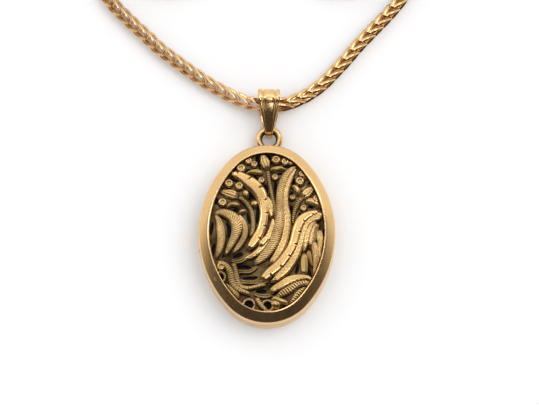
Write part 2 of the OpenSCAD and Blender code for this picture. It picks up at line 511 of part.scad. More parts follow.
// Chain. Each arm is a tube along its route, from the middle of the bail to its coil.
chain_r = chain_d / 2;
coil_left = [-21, 68];
coil_right = [16.5, 68];
arm_left = [
  [0.4, 27.9, 2.1], [-1.3, 27.9, 2.1], [-3.2, 28.2, 2], [-6.1, 29.4, 1.55], [-9, 31.1, 1.25], [-12.2, 33, 1.25],
  [-15.7, 35.5, 1.25], [-18.9, 38, 1.25], [-22, 40.5, 1.25], [-24.5, 43, 1.25], [-26.8, 45.2, 1.25],
  [-29.2, 47.6, 1.25], [-31.6, 50.2, 1.25], [-33.7, 53.4, 1.25], [-35.3, 57, 1.25], [-36.4, 61, 1.25],
  [-36.76, 65.22, 1.25]];
arm_right = [
  [0.4, 27.9, 2.1], [2.1, 27.9, 2.1], [3.9, 28.1, 2], [6.3, 29.2, 1.6], [8.9, 30.8, 1.25], [11.5, 32.9, 1.25],
  [13.8, 35.4, 1.25], [16.1, 38, 1.25], [18.1, 40.5, 1.25], [20.2, 42.9, 1.25], [22.4, 45.3, 1.25],
  [24.7, 47.8, 1.25], [27, 50.6, 1.25], [29.1, 53.8, 1.25], [30.8, 57.2, 1.25], [31.9, 61, 1.25],
  [32.26, 65.22, 1.25]];
tail_left = [
  [-31.73, 66.11, 1.25], [-31.3, 69.2, 1.25], [-29.9, 71.9, 1.25], [-27.4, 73.1, 1.25]];
tail_right = [
  [27.23, 66.11, 1.25], [26.8, 69.2, 1.25], [25.4, 71.9, 1.25], [22.9, 73.1, 1.25]];

tube_sides = 8;
function unit(v) = v / norm(v);
function along(p, i) = unit(p[min(i + 1, len(p) - 1)] - p[max(i - 1, 0)]);
function across(p, i) = unit(cross(along(p, i), [0, 0, 1]));
function ring_points(p, i) = let (s = across(p, i), u = cross(s, along(p, i)))
  [for (k = [0 : tube_sides - 1]) let (a = 360 * k / tube_sides) p[i] + chain_r * (s * cos(a) + u * sin(a))];
module tube(p) {
  n = len(p);
  polyhedron(
    points = [for (i = [0 : n - 1]) each ring_points(p, i)],
    faces = concat(
      [[for (k = [tube_sides - 1 : -1 : 0]) k]],
      [for (i = [0 : n - 2], k = [0 : tube_sides - 1])
        [i * tube_sides + k, i * tube_sides + (k + 1) % tube_sides,
         (i + 1) * tube_sides + (k + 1) % tube_sides, (i + 1) * tube_sides + k]],
      [[for (k = [0 : tube_sides - 1]) (n - 1) * tube_sides + k]]));
}
module chain_left() {
  color(gold) {
    tube(arm_left);
    tube(tail_left);
  }
}
module chain_right() {
  color(gold) {
    tube(arm_right);
    tube(tail_right);
  }
}
module coil_solid(middle) {
  outer = coil_outer_r + chain_r;
  inner = coil_outer_r - coil_turns * coil_pitch - chain_r;
  translate([middle[0], middle[1], 0]) rotate_extrude() polygon([
    [inner, 0.4], [inner + 0.4, 0], [outer - 0.4, 0], [outer, 0.4],
    [outer, chain_d - 0.4], [outer - 0.4, chain_d], [inner + 0.4, chain_d], [inner, chain_d - 0.4]]);
}
module chain_coil_left() { color(gold) coil_solid(coil_left); }
module chain_coil_right() { color(gold) coil_solid(coil_right); }

// Rings at the chain's two ends. The jump ring stands upright through the clasp's eye.
clasp_at = [-25.4, 72.25];
jump_r = 0.95;
jump_wire_r = 0.24;
jump_way = 156.8;
jump_z = 1.2;
end_ring_r = 2.2;
end_wire_r = 0.45;
end_ring_at = [20.3, 73, 1.2];
module wire_ring(r, wire) {
  rotate_extrude() translate([r, 0]) circle(r = wire, $fn = 24);
}
module jump_ring_left() {
  color(gold) translate([clasp_at[0], clasp_at[1], jump_z]) rotate([0, 0, jump_way]) translate([jump_r, 0, 0])
    rotate([90, 0, 0]) wire_ring(jump_r, jump_wire_r);
}
module end_ring_right() { color(gold) translate(end_ring_at) wire_ring(end_ring_r, end_wire_r); }

// Clasp, in its own frame: eye at 0, hook at +X, lever on the +Y side.
eye_r = 1.25;
eye_hole_r = 0.75;
hook_x = 8;
hook_r = 2.4;
hook_hole_r = 1.3;
lever_x = 4.6;
lever_y = 0.9;
clasp_pin_r = 0.3;
slot_z = [0.6, 1.8];
module place_clasp() {
  translate([clasp_at[0], clasp_at[1], 0]) rotate([0, 0, clasp_turn]) children();
}
eye_z = [0.6, 1.8];
module clasp_outline_solids() {
  translate([0, 0, eye_z[0]]) cylinder(h = eye_z[1] - eye_z[0], r = eye_r);
  linear_extrude(clasp_t) polygon([
    [0.9, -0.7], [2.4, -1.5], [5.5, -1.6], [7, -2.1], [7.2, 0], [6.3, 1.7], [4.6, 1.75], [2.4, 1.4], [0.9, 0.7]]);
  translate([hook_x, 0, 0.2]) cylinder(h = clasp_t - 0.4, r = hook_r);
}
module clasp_body() {
  color(gold) place_clasp() difference() {
    clasp_outline_solids();
    cylinder(h = through, r = eye_hole_r, center = true);
    translate([hook_x, 0, 0]) cylinder(h = through, r = hook_hole_r, center = true);
    // gap of the hook and slot for the lever
    translate([0, 0, -1]) linear_extrude(through)
      polygon([[6.45, 0.3], [hook_x, 0.3], [hook_x, 3], [6.2, 3], [6.45, 1.6]]);
    translate([0, 0, slot_z[0]]) linear_extrude(slot_z[1] - slot_z[0]) polygon([
      [3.2, 3], [3.2, 0.1], [4, -0.4], [7.2, -1], [7.2, 3]]);
    translate([lever_x, lever_y, 0]) cylinder(h = through, r = clasp_pin_r, center = true);
  }
}
lever_gap = 0.06;
spring_pocket_r = 0.8;
spring_pocket_z = 1.25;
module clasp_lever() {
  color(gold) place_clasp() difference() {
    translate([0, 0, slot_z[0] + lever_gap]) linear_extrude(slot_z[1] - slot_z[0] - 2 * lever_gap) polygon([
      [3.75, 2.6], [3.5, 2.2], [3.75, 0.75], [4.3, 0.25], [5.2, 0.25], [6.2, 1.0], [7.88, 1.55],
      [7.64, 2.3], [6.6, 2.05], [5.4, 1.8], [4.6, 2.0], [4.3, 2.65]]);
    translate([lever_x, lever_y, 0]) cylinder(h = through, r = clasp_pin_r + pin_gap, center = true);
    translate([lever_x, lever_y, spring_pocket_z]) cylinder(h = 2, r = spring_pocket_r);
  }
}
module clasp_pin() {
  color(gold) place_clasp() translate([lever_x, lever_y, 0]) cylinder(h = clasp_t, r = clasp_pin_r);
}
module clasp_spring() {
  coil_wire_r = 0.1;
  color(steel) place_clasp() for (turn = [0, 1])
    translate([lever_x, lever_y, spring_pocket_z + 0.15 + 0.22 * turn])
      rotate_extrude() translate([0.55, 0]) circle(r = coil_wire_r, $fn = 16);
}

front_rim();
openwork_panel();
liner_plate();
photo_frame_front();
photo_window_front();
photo_card_front();
hinge_knuckle_front();
back_cover();
inner_bezel();
catch_bead();
photo_frame_back();
photo_window_back();
photo_card_back();
hinge_knuckles_back();
hinge_pin();
top_ring();
bail();
chain_left();
chain_right();
chain_coil_left();
chain_coil_right();
jump_ring_left();
end_ring_right();
clasp_body();
clasp_lever();
clasp_pin();
clasp_spring();
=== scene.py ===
import bisect
import json
import math
import bmesh
import bpy
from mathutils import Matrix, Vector


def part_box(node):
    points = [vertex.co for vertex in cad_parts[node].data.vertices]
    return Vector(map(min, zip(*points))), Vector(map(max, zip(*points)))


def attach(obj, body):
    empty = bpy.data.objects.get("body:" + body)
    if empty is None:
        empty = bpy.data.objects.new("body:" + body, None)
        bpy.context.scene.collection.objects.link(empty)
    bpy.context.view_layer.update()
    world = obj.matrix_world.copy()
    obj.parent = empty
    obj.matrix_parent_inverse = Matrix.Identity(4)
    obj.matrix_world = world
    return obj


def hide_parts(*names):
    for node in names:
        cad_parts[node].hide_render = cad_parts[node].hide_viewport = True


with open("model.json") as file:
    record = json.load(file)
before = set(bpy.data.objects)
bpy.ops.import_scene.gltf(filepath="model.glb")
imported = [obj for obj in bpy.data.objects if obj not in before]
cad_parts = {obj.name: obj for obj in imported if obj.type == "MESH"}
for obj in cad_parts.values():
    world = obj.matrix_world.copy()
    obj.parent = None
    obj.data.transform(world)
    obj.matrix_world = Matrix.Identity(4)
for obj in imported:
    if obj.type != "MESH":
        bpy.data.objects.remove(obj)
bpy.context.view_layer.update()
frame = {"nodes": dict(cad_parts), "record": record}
mm = 0.001  # every size below is in millimetres
fullTurn = 2 * math.pi


def nodeBox(node):
    return [Vector(corner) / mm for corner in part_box(node)]


# Camera and light

viewSetup = {
    "aim": (0.5, 6.24, 4.6),
    "elevation": 72,
    "distance": 400,
    "lens": 135,
    "sensor": 36,
}


def addCamera(setup):
    data = bpy.data.cameras.new("camera")
    data.lens = setup["lens"]
    data.sensor_width = setup["sensor"]
    camera = bpy.data.objects.new("camera", data)
    lift = math.radians(setup["elevation"])
    away = Vector((0, -math.cos(lift), math.sin(lift)))
    camera.location = (Vector(setup["aim"]) + away * setup["distance"]) * mm
    camera.rotation_euler = away.to_track_quat("Z", "Y").to_euler()
    bpy.context.collection.objects.link(camera)
    bpy.context.scene.camera = camera


def addNode(tree, kind, inputs=None, **settings):
    made = tree.nodes.new(kind)
    for key, value in settings.items():
        setattr(made, key, value)
    for key, value in (inputs or {}).items():
        made.inputs[key].default_value = value
    return made


def setRamp(ramp, stops):
    band = ramp.color_ramp
    while len(band.elements) > 1:
        band.elements.remove(band.elements[-1])
    band.elements[0].position = stops[0][0]
    band.elements[0].color = (*stops[0][1], 1)
    for place, colour in stops[1:]:
        band.elements.new(place).color = (*colour, 1)


studio = {
    "pale": (0.94, 0.94, 0.95),
    "darkSide": (0, -0.75, 0.66),  # the unlit side of the room, towards the camera
    "roomTones": [  # from the lit side round to the unlit one
        (0.0, (0.95, 0.93, 0.9)),
        (0.5, (0.92, 0.89, 0.85)),
        (0.56, (0.6, 0.56, 0.52)),
        (0.7, (0.14, 0.12, 0.1)),
        (0.85, (0.05, 0.04, 0.035)),
    ],
    "boxes": [  # overhead soft boxes: direction, cosines of the fading edge, brightness
        ((0.02, 0.46, 0.89), (0.9, 0.975), 0.72),
        ((0.14, 0.06, 0.98), (0.99, 0.997), 5.0),
        ((-0.42, 0.34, 0.84), (0.992, 0.998), 7.0),
        ((0.45, 0.5, 0.74), (0.992, 0.998), 6.0),
    ],
    "sunPower": 0.8,
    "sunAngle": 50,
    "sunTurn": (-12, 36, 0),
}


def setWorld(look):
    world = bpy.data.worlds.new("studio")
    world.use_nodes = True
    bpy.context.scene.world = world
    tree = world.node_tree
    tree.nodes.clear()
    link = tree.links.new
    toward = addNode(tree, "ShaderNodeTexCoord").outputs["Generated"]
    room = addNode(tree, "ShaderNodeVectorMath", operation="DOT_PRODUCT")
    room.inputs[1].default_value = Vector(look["darkSide"]).normalized()
    link(toward, room.inputs[0])
    spread = addNode(tree, "ShaderNodeMapRange", {"From Min": -1, "From Max": 1})
    link(room.outputs["Value"], spread.inputs["Value"])
    tones = addNode(tree, "ShaderNodeValToRGB")
    setRamp(tones, look["roomTones"])
    link(spread.outputs["Result"], tones.inputs["Fac"])
    lit = tones.outputs["Color"]
    for place, (outer, inner), power in look["boxes"]:
        box = addNode(tree, "ShaderNodeVectorMath", operation="DOT_PRODUCT")
        box.inputs[1].default_value = Vector(place).normalized()
        link(toward, box.inputs[0])
        edge = addNode(tree, "ShaderNodeMapRange", {"From Min": outer, "From Max": inner, "To Max": power},
                       interpolation_type="SMOOTHSTEP")
        link(box.outputs["Value"], edge.inputs["Value"])
        added = addNode(tree, "ShaderNodeVectorMath", operation="ADD")
        link(lit, added.inputs[0])
        link(edge.outputs["Result"], added.inputs[1])
        lit = added.outputs["Vector"]
    ray = addNode(tree, "ShaderNodeLightPath")
    seen = addNode(tree, "ShaderNodeMix", data_type="RGBA")
    seen.inputs["A"].default_value = (*look["pale"], 1)
    link(ray.outputs["Is Glossy Ray"], seen.inputs["Factor"])
    link(lit, seen.inputs["B"])
    background = addNode(tree, "ShaderNodeBackground")
    link(seen.outputs["Result"], background.inputs["Color"])
    out = addNode(tree, "ShaderNodeOutputWorld")
    link(background.outputs["Background"], out.inputs["Surface"])
    sun = bpy.data.lights.new("softSun", "SUN")
    sun.energy = look["sunPower"]
    sun.angle = math.radians(look["sunAngle"])
    lamp = bpy.data.objects.new("softSun", sun)
    lamp.rotation_euler = [math.radians(a) for a in look["sunTurn"]]
    lamp.visible_glossy = False  # it only softens the floor's shadow
    bpy.context.collection.objects.link(lamp)
    bpy.context.scene.view_settings.view_transform = "Standard"


addCamera(viewSetup)
setWorld(studio)
print("camera and light set")


# Materials

gold = {
    "bright": (0.92, 0.63, 0.31),
    "deep": (0.84, 0.56, 0.26),
    "aged": ((0.96, 0.65, 0.29), (0.88, 0.57, 0.22)),
    # near-black used for patina and for painted shade in recesses, creases and between parts
    "patinaAndShade": (0.022, 0.013, 0.007),
}


def newMaterial(name):
    material = bpy.data.materials.new(name)
    material.use_nodes = True
    tree = material.node_tree
    tree.nodes.clear()
    shader = addNode(tree, "ShaderNodeBsdfPrincipled")
    out = addNode(tree, "ShaderNodeOutputMaterial")
    tree.links.new(shader.outputs["BSDF"], out.inputs["Surface"])
    coords = addNode(tree, "ShaderNodeTexCoord").outputs["Object"]
    return material, tree, shader, coords


def mixColours(tree, factor, first, second):
    mix = addNode(tree, "ShaderNodeMix", data_type="RGBA")
    tree.links.new(factor, mix.inputs["Factor"])
    for socket, colour in (("A", first), ("B", second)):
        if isinstance(colour, tuple):
            mix.inputs[socket].default_value = (*colour, 1)
        else:
            tree.links.new(colour, mix.inputs[socket])
    return mix.outputs["Result"]


def noiseOn(tree, coords, scale, stretch=(1, 1, 1), detail=3):
    mapping = addNode(tree, "ShaderNodeMapping", {"Scale": stretch})
    tree.links.new(coords, mapping.inputs["Vector"])
    noise = addNode(tree, "ShaderNodeTexNoise", {"Scale": scale, "Detail": detail})
    tree.links.new(mapping.outputs["Vector"], noise.inputs["Vector"])
    return noise.outputs["Fac"]


def rangeOf(tree, value, low, high, toLow, toHigh):
    made = addNode(tree, "ShaderNodeMapRange", {
        "From Min": low, "From Max": high, "To Min": toLow, "To Max": toHigh})
    tree.links.new(value, made.inputs["Value"])
    return made.outputs["Result"]


def addBump(tree, shader, height, strength):
    bump = addNode(tree, "ShaderNodeBump", {"Strength": strength, "Distance": 0.00002})
    tree.links.new(height, bump.inputs["Height"])
    tree.links.new(bump.outputs["Normal"], shader.inputs["Normal"])


def goldMaterial(name, look):
    material, tree, shader, coords = newMaterial(name)
    link = tree.links.new
    shader.inputs["Metallic"].default_value = 1
    cloud = noiseOn(tree, coords, look["cloudScale"])
    bright, deep = look.get("tones", (gold["bright"], gold["deep"]))
    tint = mixColours(tree, rangeOf(tree, cloud, 0.35, 0.7, 0, 1), bright, deep)
    wear = noiseOn(tree, coords, look["wearScale"], detail=5)
    rough = rangeOf(tree, wear, 0.3, 0.75, look["rough"][0], look["rough"][1])
    # darkened by the per-vertex darkness attribute and a random stain: real patina and stain, with painted
    # shade in recesses, creases and between parts
    if look.get("patinaAndShade"):
        recess = addNode(tree, "ShaderNodeAttribute", attribute_name="patinaAndShade").outputs["Fac"]
        grimeAndShade = addNode(tree, "ShaderNodeMath", operation="MULTIPLY_ADD", use_clamp=True)
        link(recess, grimeAndShade.inputs[0])
        grimeAndShade.inputs[1].default_value = look["patinaAndShade"]
        link(rangeOf(tree, cloud, 0.42, 0.68, 0, look["stain"]), grimeAndShade.inputs[2])
        tint = mixColours(tree, grimeAndShade.outputs["Value"], tint, gold["patinaAndShade"])
        dull = addNode(tree, "ShaderNodeMath", operation="MULTIPLY_ADD")
        link(grimeAndShade.outputs["Value"], dull.inputs[0])
        dull.inputs[1].default_value = 0.35
        link(rough, dull.inputs[2])
        rough = dull.outputs["Value"]
    link(tint, shader.inputs["Base Color"])
    link(rough, shader.inputs["Roughness"])
    scratch = noiseOn(tree, coords, look["scratchScale"], look["scratchStretch"], 2)
    addBump(tree, shader, scratch, look["bump"])
    return material


def plainMaterial(name, look):
    material, tree, shader, coords = newMaterial(name)
    link = tree.links.new
    shader.inputs["Metallic"].default_value = look.get("metallic", 0)
    shader.inputs["Specular IOR Level"].default_value = look.get("specular", 0.5)
    cloud = noiseOn(tree, coords, look["cloudScale"], detail=5)
    link(mixColours(tree, rangeOf(tree, cloud, 0.35, 0.7, 0, 1), look["first"], look["second"]),
         shader.inputs["Base Color"])
    link(rangeOf(tree, cloud, 0.3, 0.7, look["rough"][0], look["rough"][1]), shader.inputs["Roughness"])
    grain = noiseOn(tree, coords, look["grainScale"], look.get("stretch", (1, 1, 1)))
    addBump(tree, shader, grain, look["bump"])
    return material


def windowMaterial(name):
    material, tree, shader, coords = newMaterial(name)
    shader.inputs["Base Color"].default_value = (0.97, 0.98, 0.98, 1)
    shader.inputs["Transmission Weight"].default_value = 1
    shader.inputs["IOR"].default_value = 1.2
    smear = noiseOn(tree, coords, 260, detail=4)
    tree.links.new(rangeOf(tree, smear, 0.4, 0.8, 0.02, 0.12), shader.inputs["Roughness"])
    return material


finishes = {
    "polished_gold": goldMaterial("polishedGold", {
        "cloudScale": 130, "wearScale": 700, "rough": (0.16, 0.26), "scratchScale": 1500,
        "scratchStretch": (1, 0.12, 0.5), "bump": 0.16}),
    "chased_gold": goldMaterial("chasedGold", {
        "cloudScale": 220, "wearScale": 1300, "rough": (0.14, 0.24), "scratchScale": 2600,
        "scratchStretch": (1, 0.5, 1), "bump": 0.2, "patinaAndShade": 1.0, "stain": 0.2, "tones": gold["aged"]}),
    "worn_gold": goldMaterial("wornGold", {
        "cloudScale": 150, "wearScale": 900, "rough": (0.2, 0.32), "scratchScale": 1700,
        "scratchStretch": (1, 0.3, 0.5), "bump": 0.2, "patinaAndShade": 1.0, "stain": 0.2}),
    "satin_gold": goldMaterial("satinGold", {
        "cloudScale": 150, "wearScale": 900, "rough": (0.3, 0.42), "scratchScale": 3000,
        "scratchStretch": (0.1, 1, 1), "bump": 0.3}),
    "chain_gold": goldMaterial("chainGold", {
        "cloudScale": 160, "wearScale": 1100, "rough": (0.12, 0.22), "scratchScale": 2400,
        "scratchStretch": (1, 0.4, 1), "bump": 0.12}),
    "black_ground": plainMaterial("blackGround", {
        "first": (0.003, 0.0025, 0.0025), "second": (0.009, 0.006, 0.005), "rough": (0.4, 0.6),
        "specular": 0.12, "cloudScale": 420, "grainScale": 2500, "bump": 0.2}),
    "card": plainMaterial("pictureCard", {
        "first": (0.78, 0.74, 0.66), "second": (0.68, 0.62, 0.52), "rough": (0.65, 0.8),
        "cloudScale": 90, "grainScale": 5200, "bump": 0.35}),
    "steel_wire": plainMaterial("steelWire", {
        "first": (0.55, 0.55, 0.56), "second": (0.42, 0.41, 0.4), "rough": (0.22, 0.34), "metallic": 1,
        "cloudScale": 600, "grainScale": 4000, "stretch": (1, 0.1, 1), "bump": 0.2}),
    "window": windowMaterial("clearWindow"),
}
floorFinish = plainMaterial("paleFloor", {
    "first": (0.92, 0.92, 0.92), "second": (0.91, 0.91, 0.915), "rough": (0.7, 0.75),
    "cloudScale": 40, "grainScale": 900, "bump": 0.05})
print("materials made")


# Shared modelling steps

def meshFrom(name, bm):
    mesh = bpy.data.meshes.new(name)
    bm.to_mesh(mesh)
    bm.free()
    return mesh


def turnRound(bm, geom, centre, steps):
    bmesh.ops.spin(bm, geom=geom, cent=centre, axis=(0, 0, 1), angle=fullTurn, steps=steps, use_merge=True)


def standCircle(bm, sides, radius, place):
    bmesh.ops.create_circle(bm, segments=sides, radius=radius)
    bmesh.ops.rotate(bm, cent=(0, 0, 0), matrix=Vector((0, 0, 1)).rotation_difference(
        Vector((0, 1, 0))).to_matrix(), verts=bm.verts)
    bmesh.ops.translate(bm, vec=place, verts=bm.verts)


def finishPiece(name, bm, slotName, body, nodes=(), sharpAngle=38):
    bmesh.ops.scale(bm, vec=(mm, mm, mm), verts=bm.verts)
    mesh = meshFrom(name, bm)
    mesh.materials.append(finishes[slotName])
    mesh.shade_smooth()
    mesh.set_sharp_from_angle(angle=math.radians(sharpAngle))
    piece = bpy.data.objects.new(name, mesh)
    bpy.context.collection.objects.link(piece)
    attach(piece, body)
    if nodes:
        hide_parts(*nodes)
    return piece


def closeUp(bm, within=0.002):
    bmesh.ops.remove_doubles(bm, verts=bm.verts, dist=within)
    bmesh.ops.recalc_face_normals(bm, faces=bm.faces)


def smoothPath(points, steps):  # a smooth line through given points
    made = []
    last = len(points) - 1
    for i in range(last):
        p0, p1, p2, p3 = (Vector(points[min(max(k, 0), last)]) for k in (i - 1, i, i + 1, i + 2))
        for step in range(steps):
            t = step / steps
            made.append(0.5 * (2 * p1 + (p2 - p0) * t + (2 * p0 - 5 * p1 + 4 * p2 - p3) * t * t
                               + (3 * p1 - p0 - 3 * p2 + p3) * t ** 3))
    made.append(Vector(points[-1]))
    return made


def trackAlong(points):  # the line's length, and a function from distance to place
    marks = [0.0]
    for before, after in zip(points, points[1:]):
        marks.append(marks[-1] + (after - before).length)

    def placeAt(distance):
        i = min(max(bisect.bisect_right(marks, distance) - 1, 0), len(points) - 2)
        share = (distance - marks[i]) / max(marks[i + 1] - marks[i], 1e-9)
        return points[i].lerp(points[i + 1], share)

    return marks[-1], placeAt


def addWire(bm, profile, closed):
    verts = [bm.verts.new(p) for p in profile]
    pairs = list(zip(verts, verts[1:])) + ([(verts[-1], verts[0])] if closed else [])
    edges = [bm.edges.new(pair) for pair in pairs]
    return verts + edges


# Floor

floorSetup = {"size": 4000, "below": 0.02}


def addFloor(setup):
    bm = bmesh.new()
    bmesh.ops.create_grid(bm, x_segments=1, y_segments=1, size=setup["size"] / 2)
    bmesh.ops.translate(bm, vec=(0, 0, -setup["below"]), verts=bm.verts)
    bmesh.ops.scale(bm, vec=(mm, mm, mm), verts=bm.verts)
    mesh = meshFrom("floor", bm)
    mesh.materials.append(floorFinish)
    floor = bpy.data.objects.new("floor", mesh)
    bpy.context.collection.objects.link(floor)


addFloor(floorSetup)


# Chain: folded oval links, each threaded through the two loops of the one before

chain = {
    "diameter": 2.5,
    "pitch": 2.55,
    "reach": 3.3,  # length of a folded link
    "spread": 1.08,  # half the opening of its fold
    "halfWide": 0.87,
    "wireAcross": 0.46,
    "wireThick": 0.21,
    "foldRound": 0.16,  # how round the fold's tip is
    "lowest": 0.01,
    "coilOuterR": 16,
    "coilTurns": 2,
    "coilPitch": 2.55,
    "coilSteps": 36,
}
chainArms = {  # points without a height lie flat
    "left": {
        "arm": [
            (0.4, 27.9, 2.1), (-1.3, 27.9, 2.1), (-3.2, 28.2, 2), (-6.1, 29.4, 1.55), (-9, 31.1),
            (-12.2, 33), (-15.7, 35.5), (-18.9, 38), (-22, 40.5), (-24.5, 43),
            (-26.8, 45.2), (-29.2, 47.6), (-31.6, 50.2), (-33.7, 53.4),
            (-35.3, 57), (-36.4, 61), (-36.76, 65.22)],
        "tail": [(-31.73, 66.11), (-31.3, 69.2), (-29.9, 71.9), (-27.4, 73.1)],
        "coilMiddle": (-21, 68), "coilFrom": 190, "coilWay": -1, "length": 234, "roll": 40, "flip": 1,
        "nodes": ("chain_left", "chain_coil_left"), "farEnd": "connector"},
    "right": {
        "arm": [
            (0.4, 27.9, 2.1), (2.1, 27.9, 2.1), (3.9, 28.1, 2), (6.3, 29.2, 1.6), (8.9, 30.8),
            (11.5, 32.9), (13.8, 35.4), (16.1, 38), (18.1, 40.5), (20.2, 42.9),
            (22.4, 45.3), (24.7, 47.8), (27, 50.6), (29.1, 53.8), (30.8, 57.2),
            (31.9, 61), (32.26, 65.22)],
        "tail": [(27.23, 66.11), (26.8, 69.2), (25.4, 71.9), (22.9, 73.1)],
        "coilMiddle": (16.5, 68), "coilFrom": -10, "coilWay": 1, "length": 230, "roll": 96, "flip": -1,
        "nodes": ("chain_right", "chain_coil_right"), "farEnd": "fitting"},
}


def armPath(points):
    return smoothPath([(*point, chain["diameter"] / 2)[:3] for point in points], 6)


def chainRoute(side):
    steps = chain["coilTurns"] * chain["coilSteps"]
    turns = []
    for i in range(1, steps):
        angle = math.radians(side["coilFrom"]) + side["coilWay"] * fullTurn * i / chain["coilSteps"]
        radius = chain["coilOuterR"] - chain["coilPitch"] * i / chain["coilSteps"]
        x, y = side["coilMiddle"]
        x, y = x + radius * math.cos(angle), y + radius * math.sin(angle)
        turns.append(Vector((x, y, chain["diameter"] / 2)))
    return armPath(side["arm"]) + turns + armPath(side["tail"])


def foldedPoint(angle):  # middle of the wire, as (along, fold, across)
    arm, tip = math.cos(angle), chain["foldRound"]
    along = (math.sqrt(arm * arm + tip * tip) - tip) / (math.sqrt(1 + tip * tip) - tip)
    return Vector((chain["reach"] * along, chain["spread"] * math.sin(arm * math.pi / 2),
                   chain["halfWide"] * math.sin(angle)))


def linkMesh(around, sides):  # a thin hoop, bent into a folded link of flat wire
    thin, step = 0.2, 0.05
    bm = bmesh.new()
    standCircle(bm, sides, thin, (1, 0, 0))
    turnRound(bm, bm.verts[:] + bm.edges[:], (0, 0, 0), around)
    for vert in bm.verts:
        angle = math.atan2(vert.co.y, vert.co.x)
        outward = (math.hypot(vert.co.x, vert.co.y) - 1) / thin
        upward = vert.co.z / thin
        middle = foldedPoint(angle)
        forward = (foldedPoint(angle + step) - foldedPoint(angle - step)).normalized()
        fold = foldedPoint(angle - step) - foldedPoint(angle + step)
        face = Vector((-fold.y, fold.x, 0)) * (1 if math.sin(angle) >= 0 else -1)
        if face.length < 0.01:
            face = Vector((0, math.copysign(1, math.cos(angle)), 0))
        face.normalize()
        beside = forward.cross(face).normalized()
        vert.co = middle + face * upward * chain["wireThick"] + beside * outward * chain["wireAcross"]
    bmesh.ops.recalc_face_normals(bm, faces=bm.faces)
    return meshFrom("link", bm)


def threadChain(side):
    route = chainRoute(side)
    total, placeAt = trackAlong(route)
    armLength = trackAlong(armPath(side["arm"]))[0]
    fine, plain = linkMesh(24, 8), linkMesh(14, 4)
    roll = math.radians(side["roll"])
    bm = bmesh.new()
    for i in range(int((total - 0.5 * chain["reach"]) / chain["pitch"]) + 1):
        start = i * chain["pitch"]
        count = len(bm.verts)
        bm.from_mesh(fine if start < armLength else plain)
        bm.verts.ensure_lookup_table()
        for vert in bm.verts[count:]:
            along, fold, across = vert.co
            if side["flip"] < 0:
                along = chain["reach"] - along
            distance = start + along - 0.4 * chain["reach"]
            middle = placeAt(distance)
            forward = (placeAt(distance + 0.6) - placeAt(distance - 0.6)).normalized()
            beside = forward.cross(Vector((0, 0, 1))).normalized()
            upward = beside.cross(forward)
            out = beside * math.cos(roll) + upward * math.sin(roll)
            vert.co = middle + out * fold + forward.cross(out) * across
            vert.co.z = max(vert.co.z, chain["lowest"])
    bmesh.ops.recalc_face_normals(bm, faces=bm.faces)
    return route, bm


def makeChain(sideName):
    side = chainArms[sideName]
    route, bm = threadChain(side)
    piece = finishPiece("chain_links_" + sideName, bm, "chain_gold", "chain", side["nodes"], 50)


makeChain("left")
makeChain("right")
print("chain threaded")


# Oval case: profiles swept round four arcs

rimLow, rimHigh = nodeBox("front_rim")
case = {
    "halfWide": (rimHigh.x - rimLow.x) / 2,
    "halfHigh": (rimHigh.y - rimLow.y) / 2,
    "endR": 10.4,
    "sideSteps": 40,
    "endSteps": 30,
    "seam": rimLow.z,
    "seamGap": 0.03,  # joint line between the covers
    "top": rimHigh.z,
    "wall": 0.8,
    "floorTop": 0.7,
    "rimWide": 2.15,
    "plateSeat": 4.75,
    "soften": 0.05,
    "backEdge": 0.4,  # rounding between back and wall
    "backEase": 0.12,
    "flatFrom": 4,  # inset where the sweep ends and the flat middle begins
    "sharp": 30,
}
case["endDy"] = case["halfHigh"] - case["endR"]
case["sideR"] = ((case["halfWide"] ** 2 + case["endDy"] ** 2 - case["endR"] ** 2)
                 / (2 * (case["halfWide"] - case["endR"])))
case["sideDx"] = case["sideR"] - case["halfWide"]
case["jointAngle"] = math.atan2(case["endDy"], case["sideDx"])


def sweepOval(profile, closed=True):  # profile as (inset from the outline, height)
    bm = bmesh.new()
    angle = case["jointAngle"]
    radii = [(case["sideR"] - inset, z) for inset, z in profile]
    start = [(r * math.cos(angle) - case["sideDx"], -r * math.sin(angle), z) for r, z in radii]
    geom = addWire(bm, start, closed)
    ends = [] if closed else [geom[0], geom[len(profile) - 1]]
    bmesh.ops.bevel(bm, geom=[v for v in bm.verts if v not in ends], offset=case["soften"],
                    offset_type="OFFSET", segments=3, profile=0.5, affect="VERTICES", material=-1,
                    clamp_overlap=True)
    geom = bm.verts[:] + bm.edges[:]
    for way in (1, -1):
        side = ((-way * case["sideDx"], 0, 0), 2 * angle, case["sideSteps"])
        end = ((0, way * case["endDy"], 0), math.pi - 2 * angle, case["endSteps"])
        for centre, sweep, steps in (side, end):
            geom = bmesh.ops.spin(bm, geom=geom, cent=centre, axis=(0, 0, 1), angle=sweep, steps=steps,
                                  use_merge=False, use_duplicate=False)["geom_last"]
    closeUp(bm)
    return bm


def fillLoops(bm):  # flat faces across what is still open
    rims = [e for e in bm.edges if e.is_boundary]
    bmesh.ops.holes_fill(bm, edges=rims, sides=0)
    bmesh.ops.recalc_face_normals(bm, faces=bm.faces)


def cutWith(piece, cutters):  # takes each cutter's shape out of the piece
    for bm in cutters:
        bmesh.ops.scale(bm, vec=(mm, mm, mm), verts=bm.verts)
        bmesh.ops.recalc_face_normals(bm, faces=bm.faces)
        cutter = bpy.data.objects.new("cutter", meshFrom("cutter", bm))
        bpy.context.collection.objects.link(cutter)
        cut = piece.modifiers.new("cut", "BOOLEAN")
        cut.object = cutter
        cut.solver = "EXACT"
        made = bpy.data.meshes.new_from_object(piece.evaluated_get(bpy.context.evaluated_depsgraph_get()))
        piece.modifiers.clear()
        piece.data = made
        bpy.data.objects.remove(cutter)
    piece.data.shade_smooth()
    piece.data.set_sharp_from_angle(angle=math.radians(case["sharp"]))


